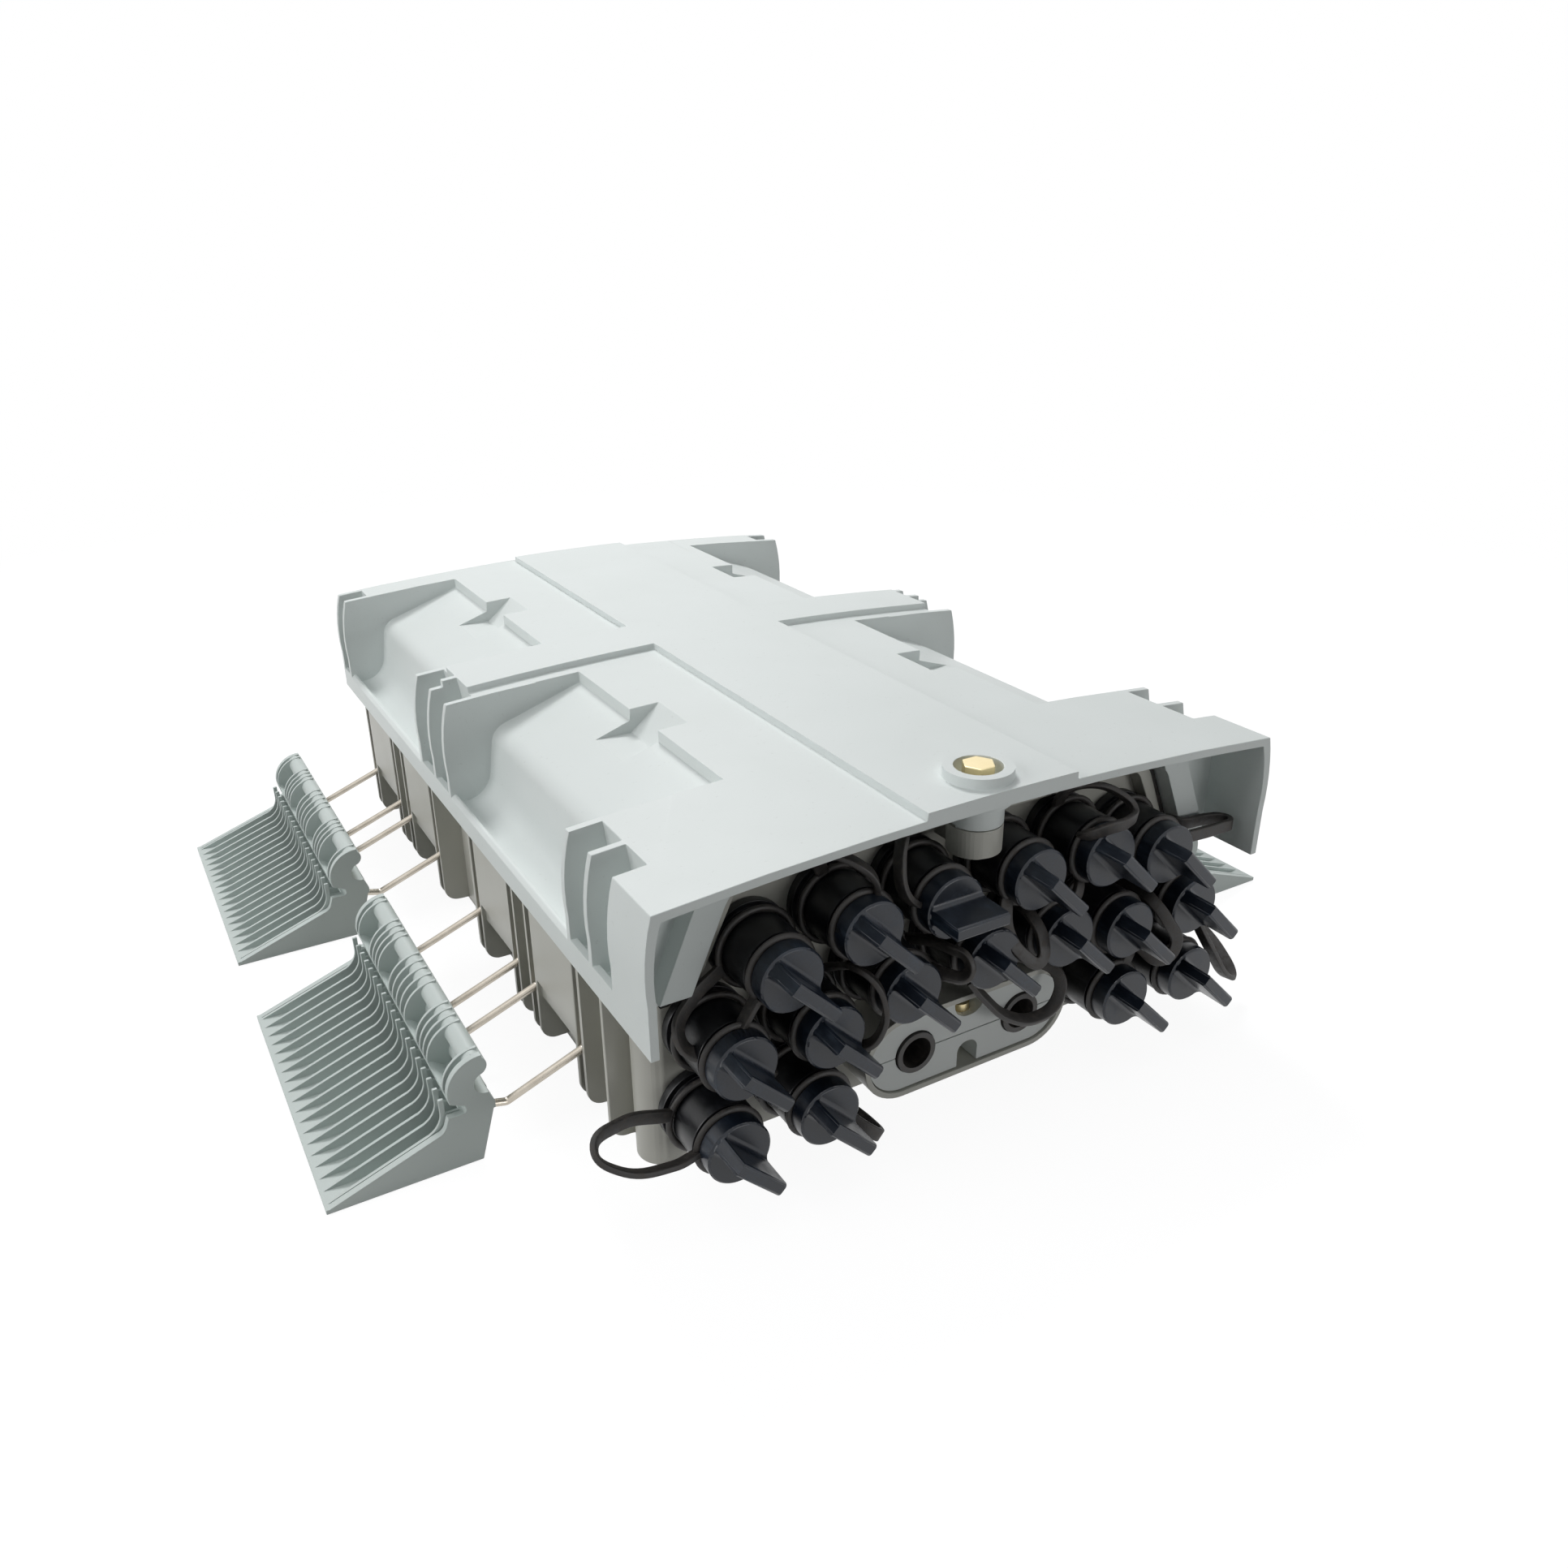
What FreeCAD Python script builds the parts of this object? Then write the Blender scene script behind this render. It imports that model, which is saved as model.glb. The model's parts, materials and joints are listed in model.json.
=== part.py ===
# Fibre splice box: a tub with a lift-off cover, capped drop ports under a hood, an oval entry for
# two feeder cables and four comb latches on wire bails. Millimetres, +Z up. The port panel faces
# -Y, X = 0 is the plane of symmetry and the origin lies on the underside of the tub.

import FreeCAD, Part
import math
import os

import Sketcher

Vector = FreeCAD.Vector
Rotation = FreeCAD.Rotation
Placement = FreeCAD.Placement

X_AXIS = Vector(1, 0, 0)
Y_AXIS = Vector(0, 1, 0)
Z_AXIS = Vector(0, 0, 1)
LYING = Rotation()
STANDING = Rotation(X_AXIS, 90)
LAID_ALONG_Y = Rotation(X_AXIS, -90)

DIMENSIONS = {
    # Walls and clearances
    "wall": 3.0,
    "running_gap": 0.35,
    "seat_gap": 0.3,
    "cut_margin": 12.0,
    # Tub
    "tub_half_width": 113.0,
    "tub_front": 173.0,
    "tub_back": 172.0,
    "tub_height": 67.0,
    "tub_corner": 12.0,
    "tub_front_corner": 3.0,
    "corner_post_radius": 9.0,
    "corner_post_stand": 4.5,
    "tub_bevel": 2.5,
    "rim_land": 8.0,
    "rim_depth": 6.0,
    # Collar that frames the port panel
    "collar_foot": 65.0,
    "collar_knee": 71.0,
    "collar_knee_half": 104.0,
    "collar_top": 107.0,
    "collar_top_half": 88.6,
    "collar_corner": 12.0,
    "collar_stand": 6.0,
    "collar_land": 4.0,
    # Cover
    "hood_front": 203.0,
    "cover_back": 176.0,
    "skirt_half_width": 127.5,
    "skirt_foot": 67.5,
    "side_bend": 86.0,
    "side_bulge": 1.4,
    "roof_half_width": 125.0,
    "roof_edge": 116.0,
    "roof_rise": 5.7,
    "raise_step": 2.7,
    "spine_half_width": 30.9,
    "spine_back": 172.0,
    "crossbar_half_width": 120.0,
    "crossbar_front": -5.1,
    "crossbar_back": 24.0,
    "space_half_width": 106.0,
    "end_wall": 4.0,
    "end_wall_back": 174.0,
    "band_foot": 73.0,
    "band_foot_half": 116.4,
    "band_top_half": 98.0,
    "band_width": 12.0,
    "band_stand": 8.0,
    "rail_top": 77.4,
    "rail_width": 2.7,
    "rail_edge": 1.4,
    "trough_floor": 73.6,
    "trough_width": 13.2,
    "trough_round": 12.0,
    "seal_height": 2.0,
    "seal_inset": 1.5,
    "seal_width": 5.0,
    # Latch recesses and side slots of the cover
    "recess_length": 127.5,
    "recess_shelf": 38.9,
    "recess_brink": 115.4,
    "recess_knee": 102.2,
    "recess_lean": 4.2,
    "recess_round": 8.5,
    "notch_half": 56.0,
    "notch_floor_half": 68.2,
    "notch_floor": 110.4,
    "notch_end_half": 83.0,
    "notch_length": 25.0,
    "slot_depth": 12.8,
    "slot_shoulder": 106.0,
    "slot_lean": 5.0,
    "slot_width": 15.5,
    "fin_thickness": 3.0,
    # Latches: places along the box, then the profile about the front corner of the plate
    "front_latch_place": -75.45,
    "back_latch_place": 95.75,
    "latch_length": 126.0,
    "latch_reach": 52.0,
    "latch_plate": 2.2,
    "tip_height": 1.7,
    "side_lean": 6.2,
    "side_height": 21.8,
    "rib_pitch": 6.6,
    "rib_thickness": 1.2,
    "rib_knee": 11.6,
    "rib_knee_height": 15.8,
    "rib_knee_round": 8.0,
    "ear_reach": 11.8,
    "ear_height": 26.8,
    "ear_width": 1.8,
    "eye_reach": 3.6,
    "eye_floor": 20.9,
    "eye_height": 2.8,
    "hook_setback": 3.07,
    "hook_height": 29.1,
    "hook_radius": 12.4,
    "hook_lip": 1.7,
    "hook_ring": 1.3,
    "bulb_radius": 3.6,
    "ring_stand": 0.3,
    "mouth_setback": 3.9,
    "mouth_height": 30.4,
    "mouth_radius": 4.1,
    "mouth_skin": 1.5,
    "latch_end_plate": 2.6,
    "pivot_setback": 2.2,
    "pivot_height": 17.0,
    # Wire bails
    "wire": 2.8,
    "wire_hole": 3.4,
    "bail_inner_leg": 9.9,
    "bail_outer_leg": 56.1,
    "leg_slot": 4.2,
    "leg_slot_top": 25.6,
    "pin_reach": 7.2,
    "leg_drop_out": 7.2,
    "leg_drop": 22.1,
    "leg_crook": 9.6,
    "leg_crook_drop": 2.4,
    "bail_half": 115.0,
    "bail_height": 48.6,
    "open_pivot_half": 161.2,
    "open_pivot_height": 17.4,
    "wire_bend": 2.6,
    # Flank of the tub
    "flank_half_width": 123.8,
    "flank_fin": 2.2,
    "flank_fin_foot": 3.6,
    "flank_round": 6.0,
    "flank_lip": 31.0,
    "flank_skin": 2.0,
    "flank_sill": 24.0,
    "flank_step": 1.8,
    "bare_fin_place": 155.0,
    # Port adapters, their caps and straps, measured outwards from the panel
    "port_bore": 8.5,
    "flange_radius": 14.4,
    "flange_height": 3.5,
    "adapter_radius": 12.3,
    "adapter_length": 21.5,
    "adapter_bore": 6.4,
    "adapter_stub": 14.0,
    "lock_nut_flats": 20.4,
    "lock_nut_height": 5.0,
    "cap_radius": 11.25,
    "cap_face": 31.0,
    "cap_back": 24.6,
    "cap_neck_radius": 9.2,
    "cap_plug_radius": 6.0,
    "cap_plug_reach": 10.0,
    "cap_edge": 0.8,
    "wing_half_width": 10.4,
    "wing_height": 14.0,
    "wing_thickness": 4.8,
    "wing_root": 2.0,
    "wing_edge": 1.2,
    "foot_ring_start": 6.6,
    "foot_ring_radius": 14.8,
    "neck_ring_start": 22.2,
    "neck_ring_radius": 12.8,
    "ring_thickness": 2.0,
    "strap_thickness": 1.8,
    "strap_width": 5.0,
    "strap_side_gap": 11.9,
    # Oval entry
    "entry_height": 25.3,
    "spout_half_width": 45.0,
    "spout_radius": 16.5,
    "spout_front": 193.0,
    "spout_wall": 2.2,
    "entry_depth": 18.0,
    "entry_setback": 1.0,
    "grommet_place": 23.3,
    "grommet_radius": 8.0,
    "grommet_bore": 6.0,
    "grommet_groove": 1.6,
    "screw_well": 13.0,
    "screw_well_floor": 7.0,
    "key_notch": 9.0,
    "key_notch_top": 4.0,
    "screw_shank": 2.0,
    "screw_head": 3.6,
    "screw_head_height": 3.0,
    "screw_length": 12.0,
    # Cover bolt and its post
    "bolt_place": 188.5,
    "post_radius": 9.5,
    "post_foot": 98.0,
    "post_top": 108.0,
    "post_web": 10.0,
    "bolt_ring_radius": 12.0,
    "bolt_ring_bore": 8.25,
    "bolt_ring_top": 128.0,
    "bolt_seat": 122.6,
    "bolt_hole": 3.3,
    "bolt_shank": 3.0,
    "bolt_flats": 10.0,
    "bolt_head_height": 6.2,
    "bolt_tip": 99.5,
    "insert_radius": 4.4,
    "insert_bore": 3.2,
    # Splice tray, its lid and the feeder clamp inside the tub
    "tray_half_width": 82.0,
    "tray_half_length": 120.0,
    "tray_centre": 20.0,
    "tray_corner": 30.0,
    "tray_height": 12.0,
    "tray_wall": 2.0,
    "tray_lift": 24.0,
    "tray_hub_radius": 26.0,
    "tray_hub_place": 70.0,
    "lid_thickness": 1.5,
    "boss_radius": 7.0,
    "boss_half_x": 75.0,
    "boss_half_y": 60.0,
    "bracket_hole": 2.75,
    "bracket_depth": 12.0,
    "bracket_half_x": 75.0,
    "bracket_half_y": 120.0,
    "clamp_half_width": 40.0,
    "clamp_place": 138.0,
    "clamp_depth": 10.0,
    "clamp_height": 36.0,
}

RIB_COUNT = 19
RING_PLACES = (-57.2, -39.3, -34.9, -30.6, -26.3, -10.75, -5.4, 0.0,
               5.4, 10.75, 26.3, 30.6, 34.9, 39.3, 57.2)
TOP_ROW = ((18.0, 87.0), (49.7, 87.0), (79.6, 80.0))
MIDDLE_ROW = ((33.5, 59.3), (63.8, 53.0), (96.3, 53.5))
BOTTOM_ROW = ((65.5, 23.0), (99.4, 22.4))
CENTRE_PORT = (0.0, 61.4)
WING_LEAN = -45.0
BEAD_ANGLE = 77.9
BEAD_PLACE = (math.cos(math.radians(BEAD_ANGLE)), math.sin(math.radians(BEAD_ANGLE)))

# Straps: the way each one leaves its port, in degrees seen from the front, and how far it reaches.
# The last one of the top row lies along the hood and stops short of its side wall instead.
STRAPS = {
    "top_1": (203.0, 31.0), "top_2": (85.0, 24.0), "top_3": (125.0, 23.0),
    "top_4": (268.0, 21.0), "top_5": (60.0, 24.0), "top_6": (0.0, None),
    "middle_1": (314.0, 22.0), "middle_2": (42.0, 21.0), "middle_3": (32.0, 20.5),
    "middle_4": (296.0, 36.0), "middle_5": (24.0, 20.5), "middle_6": (28.0, 21.5),
    "middle_7": (330.0, 32.0), "bottom_1": (184.0, 42.0), "bottom_2": (322.0, 23.0),
    "bottom_3": (140.0, 24.0), "bottom_4": (137.0, 22.0),
}


class Size:
    """A length with the value it has now and the formula that gives it from the sheet."""

    def __init__(self, value, formula):
        self.value = float(value)
        self.formula = formula

    def joined(self, other, sign, value):
        return Size(value, f"({self.formula} {sign} {as_size(other).formula})")

    def __add__(self, other):
        return self.joined(other, "+", self.value + as_size(other).value)

    def __sub__(self, other):
        return self.joined(other, "-", self.value - as_size(other).value)

    def __mul__(self, other):
        return self.joined(other, "*", self.value * as_size(other).value)

    def __truediv__(self, other):
        return self.joined(other, "/", self.value / as_size(other).value)

    def __radd__(self, other):
        return as_size(other) + self

    def __rsub__(self, other):
        return as_size(other) - self

    def __rmul__(self, other):
        return as_size(other) * self

    def __neg__(self):
        return Size(-self.value, f"(-1 * {self.formula})")


def as_size(number):
    return number if isinstance(number, Size) else Size(number, f"({number:.6f})")


class Sheet:
    """The driving dimensions, each read as a Size under its own name."""

    def __init__(self, document, dimensions):
        self.cells = document.addObject("Spreadsheet::Sheet", "Sizes")
        for row, (alias, value) in enumerate(dimensions.items(), start=1):
            self.cells.set(f"A{row}", alias)
            self.cells.set(f"B{row}", str(value))
            self.cells.setAlias(f"B{row}", alias)
            setattr(self, alias, Size(value, f"Sizes.{alias}"))


doc = FreeCAD.newDocument("fibre_splice_box")
d = Sheet(doc, DIMENSIONS)
doc.recompute()
nodes = []


def bind(thing, prop, size):
    """Tie a property to the sheet."""
    thing.setExpression(prop, as_size(size).formula)


def place(thing, x=0, y=0, z=0, turn=LYING):
    """Set an object's Placement, with its position tied to the sheet."""
    thing.Placement = Placement(Vector(*(as_size(v).value for v in (x, y, z))), turn)
    for axis, size in zip("xyz", (x, y, z)):
        if isinstance(size, Size):
            bind(thing, f"Placement.Base.{axis}", size)
    return thing


def piece(name, thing):
    """Make an object a sub-part of the box."""
    thing.Label = name
    nodes.append(thing)
    return thing


def add_arc(sketch, centre, start, end):
    """Add an arc of under half a turn; return its index and the numbers of its start and end."""
    radius = (start - centre).Length
    turns_left = (start - centre).cross(end - centre).z > 0
    first, last = (start, end) if turns_left else (end, start)
    angles = [math.atan2(p.y - centre.y, p.x - centre.x) for p in (first, last)]
    if angles[1] < angles[0]:
        angles[1] += 2 * math.pi
    index = sketch.addGeometry(Part.ArcOfCircle(Part.Circle(centre, Z_AXIS, radius), *angles))
    return (index, 1, 2) if turns_left else (index, 2, 1)


def outline(name, corners, turn=STANDING, rounds=None, rises=None):
    """A closed sketch through the corners. rounds gives some corners a radius, and rises bows the
    side that starts at a corner by a height to the left of its direction, below zero to the right."""
    rounds, rises = rounds or {}, rises or {}
    sketch = doc.addObject("Sketcher::SketchObject", name)
    corners = [(as_size(x), as_size(y)) for x, y in corners]
    points = [Vector(x.value, y.value, 0) for x, y in corners]
    count = len(points)
    starts, ends = [], []
    for i, point in enumerate(points):
        before = (points[i - 1] - point).normalize()
        after = (points[(i + 1) % count] - point).normalize()
        set_back = 0
        if i in rounds:
            half = before.getAngle(after) / 2
            set_back = as_size(rounds[i]).value / math.tan(half)
        ends.append(point + before * set_back)
        starts.append(point + after * set_back)
    sides = []
    for i in range(count):
        start, end = starts[i], ends[(i + 1) % count]
        if i in rises:
            rise = as_size(rises[i]).value
            half = (end - start).Length / 2
            along = (end - start).normalize()
            left = Z_AXIS.cross(along)
            radius = (half * half + rise * rise) / (2 * rise)
            centre = start + along * half + left * (rise - radius)
            sides.append(add_arc(sketch, centre, start, end))
        else:
            sides.append((sketch.addGeometry(Part.LineSegment(start, end)), 1, 2))
    for i, (x, y) in enumerate(corners):
        last, _, last_end = sides[i - 1]
        following, first_end, _ = sides[i]
        if i in rounds:
            half = (points[i - 1] - points[i]).getAngle(points[(i + 1) % count] - points[i]) / 2
            middle = (starts[i] + ends[i]) * 0.5 - points[i]
            reach = as_size(rounds[i]).value / math.sin(half)
            centre = points[i] + middle.normalize() * reach
            arc, arc_start, arc_end = add_arc(sketch, centre, ends[i], starts[i])
            corner = sketch.addGeometry(Part.Point(points[i]), True)
            sketch.addConstraint(Sketcher.Constraint("Tangent", last, last_end, arc, arc_start))
            sketch.addConstraint(Sketcher.Constraint("Tangent", arc, arc_end, following, first_end))
            sketch.addConstraint(Sketcher.Constraint("PointOnObject", corner, 1, last))
            sketch.addConstraint(Sketcher.Constraint("PointOnObject", corner, 1, following))
            row = sketch.addConstraint(Sketcher.Constraint("Radius", arc, as_size(rounds[i]).value))
            bind(sketch, f"Constraints[{row}]", rounds[i])
        else:
            corner = following
            sketch.addConstraint(
                Sketcher.Constraint("Coincident", last, last_end, following, first_end))
        point = 1 if i in rounds else first_end
        for kind, size in (("DistanceX", x), ("DistanceY", y)):
            row = sketch.addConstraint(Sketcher.Constraint(kind, -1, 1, corner, point, size.value))
            bind(sketch, f"Constraints[{row}]", size)
    for i, rise in rises.items():
        side, first_end, last_end = sides[i]
        x1, y1 = corners[i]
        x2, y2 = corners[(i + 1) % count]
        chord_squared = (x2 - x1) * (x2 - x1) + (y2 - y1) * (y2 - y1)
        size = as_size(rise)
        radius = chord_squared / (size * 8) + size / 2
        if radius.value < 0:
            radius = -radius
        row = sketch.addConstraint(Sketcher.Constraint("Radius", side, radius.value))
        bind(sketch, f"Constraints[{row}]", radius)
    sketch.Placement = Placement(Vector(), turn)
    return sketch


def rectangle(name, x1, x2, y1, y2, turn=STANDING, rounds=None):
    return outline(name, [(x1, y1), (x2, y1), (x2, y2), (x1, y2)], turn, rounds)


def widened(name, sketch, distance, join="Arc"):
    """A sketch's outline moved outwards by a distance, or inwards below zero."""
    wider = doc.addObject("Part::Offset2D", name)
    wider.Source = sketch
    wider.Join = join
    bind(wider, "Value", distance)
    return wider


def slab(name, sketch, start, depth, way=Y_AXIS, x=0):
    """A sketch drawn out along +Y or +Z from start."""
    solid = doc.addObject("Part::Extrusion", name)
    solid.Base = sketch
    solid.DirMode = "Custom"
    solid.Dir = way
    solid.Solid = True
    bind(solid, "LengthFwd", depth)
    return place(solid, x, start) if way == Y_AXIS else place(solid, x, 0, start)


def turned(name, profile):
    """A profile drawn in radius and height, turned about its Y axis."""
    solid = doc.addObject("Part::Revolution", name)
    solid.Source = outline(f"{name}_profile", profile, LYING)
    solid.Axis = Y_AXIS
    solid.Base = Vector()
    solid.Angle = 360
    solid.Solid = True
    return solid


def drum(name, radius, height, x=0, y=0, z=0, turn=LYING):
    solid = doc.addObject("Part::Cylinder", name)
    bind(solid, "Radius", radius)
    bind(solid, "Height", height)
    return place(solid, x, y, z, turn)


def hexagon(name, flats, height, x=0, y=0, z=0, turn=LYING):
    solid = doc.addObject("Part::Prism", name)
    solid.Polygon = 6
    bind(solid, "Circumradius", flats / math.sqrt(3))
    bind(solid, "Height", height)
    return place(solid, x, y, z, turn)


def joined(name, *solids):
    solid = doc.addObject("Part::MultiFuse", name)
    solid.Shapes = list(solids)
    return solid


def cut(name, base, *tools):
    solid = doc.addObject("Part::Cut", name)
    solid.Base = base
    solid.Tool = tools[0] if len(tools) == 1 else joined(f"{name}_tools", *tools)
    return solid


def shared(name, *solids):
    solid = doc.addObject("Part::MultiCommon", name)
    solid.Shapes = list(solids)
    return solid


def group(name, *solids):
    """Solids kept apart in one object."""
    bunch = doc.addObject("Part::Compound", name)
    bunch.Links = list(solids)
    return bunch


def both_sides(name, solid):
    """A solid of the +X side and its mirror image."""
    twin = doc.addObject("Part::Mirroring", f"{name}_left")
    twin.Source = solid
    twin.Base = Vector()
    twin.Normal = X_AXIS
    return [solid, twin]


def bevelled(name, base, size, chosen):
    """Chamfer the edges of a solid that a test picks out."""
    doc.recompute()
    solid = doc.addObject("Part::Chamfer", name)
    solid.Base = base
    edges = [i for i, edge in enumerate(base.Shape.Edges, start=1) if chosen(edge)]
    solid.Edges = [(i, size.value, size.value) for i in edges]
    return solid


def lies_at(edge, axis, size):
    """Whether an edge lies in a plane across an axis."""
    return all(abs(getattr(v.Point, axis) - size.value) < 1e-6 for v in edge.Vertexes)


def port_places():
    """The ports' names and places, row by row and from left to right."""
    rows = {
        "top": [(-x, z) for x, z in reversed(TOP_ROW)] + list(TOP_ROW),
        "middle": [(-x, z) for x, z in reversed(MIDDLE_ROW)] + [CENTRE_PORT] + list(MIDDLE_ROW),
        "bottom": [(-x, z) for x, z in reversed(BOTTOM_ROW)] + list(BOTTOM_ROW),
    }
    return {f"{row}_{i}": xz for row, ports in rows.items() for i, xz in enumerate(ports, start=1)}


PORTS = port_places()


def facing(degrees):
    """Stand a port piece on the panel: its Y axis outwards, its X axis at an angle as seen from
    the front."""
    return Rotation(Y_AXIS, 180 - degrees) * Rotation(Z_AXIS, 180)


# Latch profile. u runs from the plate's corner to its tip and v from the plate to the barrel; the
# origin of the piece is its pivot, so that u becomes -X and v becomes +Z on the left of the box.

def latch_point(u, v):
    return (-(u + d.pivot_setback), v - d.pivot_height)


def on_circle(u, v, radius, degrees):
    """A point of the latch profile on a circle about (u, v)."""
    angle = math.radians(degrees)
    return latch_point(u + radius * math.cos(angle), v + radius * math.sin(angle))


def bow(radius, sweep):
    """How far an arc of a sweep in degrees stands off its chord."""
    return radius * (1 - math.cos(math.radians(sweep / 2)))


def hook_profiles():
    """The hook at the head of a latch: the section that runs along all of it, with a thick bead, a
    skin round the mouth and a lip over the eye, and the full crescent of a ring or an end."""
    hook = (-d.hook_setback, d.hook_height, d.hook_radius)
    bead_throw = d.hook_radius - d.bulb_radius - d.ring_stand
    bead = (-d.hook_setback + BEAD_PLACE[0] * bead_throw,
            d.hook_height + BEAD_PLACE[1] * bead_throw, d.bulb_radius)
    mouth = (-d.mouth_setback, d.mouth_height, d.mouth_radius)
    skin = (-d.mouth_setback, d.mouth_height, d.mouth_radius + d.mouth_skin)
    foot = d.eye_floor - d.hook_lip
    shelf = [latch_point(-d.side_lean, foot), latch_point(-d.side_lean, d.side_height),
             on_circle(*mouth, -97)]
    bead_start, bead_side = on_circle(*bead, 256), on_circle(*bead, 180)
    eye_top = d.eye_floor + d.eye_height
    lip = on_circle(*hook, -1)
    eye = [on_circle(*hook, -14), latch_point(d.eye_reach, eye_top), latch_point(d.eye_reach, d.eye_floor),
           latch_point(d.eye_reach + d.hook_lip, d.eye_floor), latch_point(d.eye_reach + d.hook_lip, foot)]
    half_eye = d.eye_height * 0.45
    core = outline("hook_core_profile", [
        *shelf, bead_start, bead_side, on_circle(*bead, 90), on_circle(*bead, 0), on_circle(*bead, -70),
        on_circle(*skin, -61), latch_point(d.eye_reach, eye_top + d.hook_lip),
        on_circle(*hook[:2], d.hook_radius - d.hook_lip, -4), lip, *eye,
    ], rounds={13: half_eye, 14: half_eye},
        rises={2: bow(d.mouth_radius, 161), 3: -bow(d.bulb_radius, 76), 4: -bow(d.bulb_radius, 90),
               5: -bow(d.bulb_radius, 90), 6: -bow(d.bulb_radius, 70), 7: -bow(skin[2], 107)})
    crescent = outline("hook_crescent_profile", [
        *shelf, bead_start, bead_side, on_circle(*bead, 128), on_circle(*hook, 92), lip, *eye,
    ], rounds={9: half_eye, 10: half_eye},
        rises={2: bow(d.mouth_radius, 161), 3: -bow(d.bulb_radius, 76),
               4: -bow(d.bulb_radius, 52), 6: -bow(d.hook_radius, 93)})
    return core, crescent


def make_latch():
    plate = d.latch_plate
    end = d.latch_length / 2
    shell = slab("latch_shell", outline("latch_shell_profile", [
        latch_point(d.latch_reach, 0),
        latch_point(0, 0),
        latch_point(-d.side_lean, d.side_height),
        latch_point(-d.side_lean + plate, d.side_height),
        latch_point(plate * 0.75, plate),
        latch_point(d.latch_reach, d.tip_height),
    ]), -end, d.latch_length)
    tip = d.latch_reach - d.rib_thickness
    inside = [latch_point(tip, plate / 2), latch_point(plate / 2, plate / 2),
              latch_point(-d.side_lean + plate / 2, d.eye_floor)]
    ear_foot = d.ear_reach - d.ear_width
    rib_profile = outline("latch_rib_profile", [
        *inside,
        latch_point(ear_foot, d.eye_floor),
        latch_point(ear_foot, d.ear_height),
        latch_point(d.ear_reach, d.ear_height),
        latch_point(d.rib_knee, d.rib_knee_height),
        latch_point(tip, d.tip_height),
    ], rounds={6: d.rib_knee_round})
    end_profile = outline("latch_end_profile", [
        *inside,
        latch_point(ear_foot, d.eye_floor),
        latch_point(d.rib_knee, d.rib_knee_height),
        latch_point(tip, d.tip_height),
    ], rounds={4: d.rib_knee_round / 2})
    first = -d.rib_pitch * ((RIB_COUNT - 1) / 2) - d.rib_thickness / 2
    ribs = [slab(f"latch_rib_{i}", rib_profile, first + d.rib_pitch * i, d.rib_thickness)
            for i in range(RIB_COUNT)]
    core, crescent = hook_profiles()
    hook = slab("hook_core", core, -end, d.latch_length)
    rings = [slab(f"hook_ring_{i}", crescent, middle - d.hook_ring / 2, d.hook_ring)
             for i, middle in enumerate(RING_PLACES)]
    ends = []
    for i, start in enumerate((-end, end - d.latch_end_plate)):
        ends.append(slab(f"latch_end_{i}", end_profile, start, d.latch_end_plate))
        ends.append(slab(f"hook_end_{i}", crescent, start, d.latch_end_plate))
    wall_x = latch_point(-d.side_lean, 0)[0]
    slot_profile = rectangle(
        "latch_leg_profile", wall_x - plate - d.wire_bend, wall_x + plate,
        -d.wire_hole, d.leg_slot_top - d.pivot_height)
    slots = []
    holes = []
    for side in (-1, 1):
        for i, leg in enumerate((d.bail_inner_leg, d.bail_outer_leg)):
            middle = leg * side
            slots.append(slab(f"latch_leg_slot_{side}_{i}", slot_profile,
                              middle - d.leg_slot / 2, d.leg_slot))
        span = d.bail_outer_leg - d.bail_inner_leg
        start = d.bail_inner_leg if side > 0 else -d.bail_outer_leg
        holes.append(drum(f"latch_pin_hole_{side}", d.wire_hole / 2, span, 0, start, 0, LAID_ALONG_Y))
    return cut("latch_form", joined("latch_comb", shell, hook, *ribs, *rings, *ends), *slots, *holes)


def bail_wire(side):
    """One wire bail about its bar: two legs from the bar to the latch, with pins turned inwards."""
    pivot = Vector(d.bail_half.value - d.open_pivot_half.value, 0,
                   d.open_pivot_height.value - d.bail_height.value)
    radius = d.wire_bend.value
    drop = Vector(-d.leg_drop_out.value, 0, -d.leg_drop.value)
    crook = Vector(d.leg_crook.value, 0, -d.leg_crook_drop.value)
    near, far = d.bail_inner_leg.value * side, d.bail_outer_leg.value * side
    pin = d.pin_reach.value * side
    route = [pivot + Y_AXIS * (near + pin), pivot + Y_AXIS * near, pivot + crook + Y_AXIS * near,
             drop + Y_AXIS * near, Y_AXIS * near, Y_AXIS * far, drop + Y_AXIS * far,
             pivot + crook + Y_AXIS * far, pivot + Y_AXIS * far, pivot + Y_AXIS * (far - pin)]
    return round_pipe(rounded_path(route, radius), d.wire.value / 2)


def rounded_path(route, radius):
    """Straight runs through a list of points, with a tangent arc at each turn."""
    edges = []
    last = route[0]
    for i in range(1, len(route) - 1):
        before = (route[i - 1] - route[i]).normalize()
        after = (route[i + 1] - route[i]).normalize()
        half = before.getAngle(after) / 2
        room = 0.45 * min((route[i - 1] - route[i]).Length, (route[i + 1] - route[i]).Length)
        arc_radius = min(radius, room * math.tan(half))
        reach = arc_radius / math.tan(half)
        start, end = route[i] + before * reach, route[i] + after * reach
        middle = route[i] + (before + after).normalize() * (arc_radius / math.sin(half) - arc_radius)
        edges.append(Part.LineSegment(last, start).toShape())
        edges.append(Part.Arc(start, middle, end).toShape())
        last = end
    edges.append(Part.LineSegment(last, route[-1]).toShape())
    return Part.Wire(edges)


def round_pipe(path, radius):
    """A round wire along a path."""
    start = path.Edges[0]
    tangent = start.tangentAt(start.FirstParameter)
    section = Part.Wire([Part.makeCircle(radius, start.Vertexes[0].Point, tangent)])
    return path.makePipeShell([section], True, True)


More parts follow.
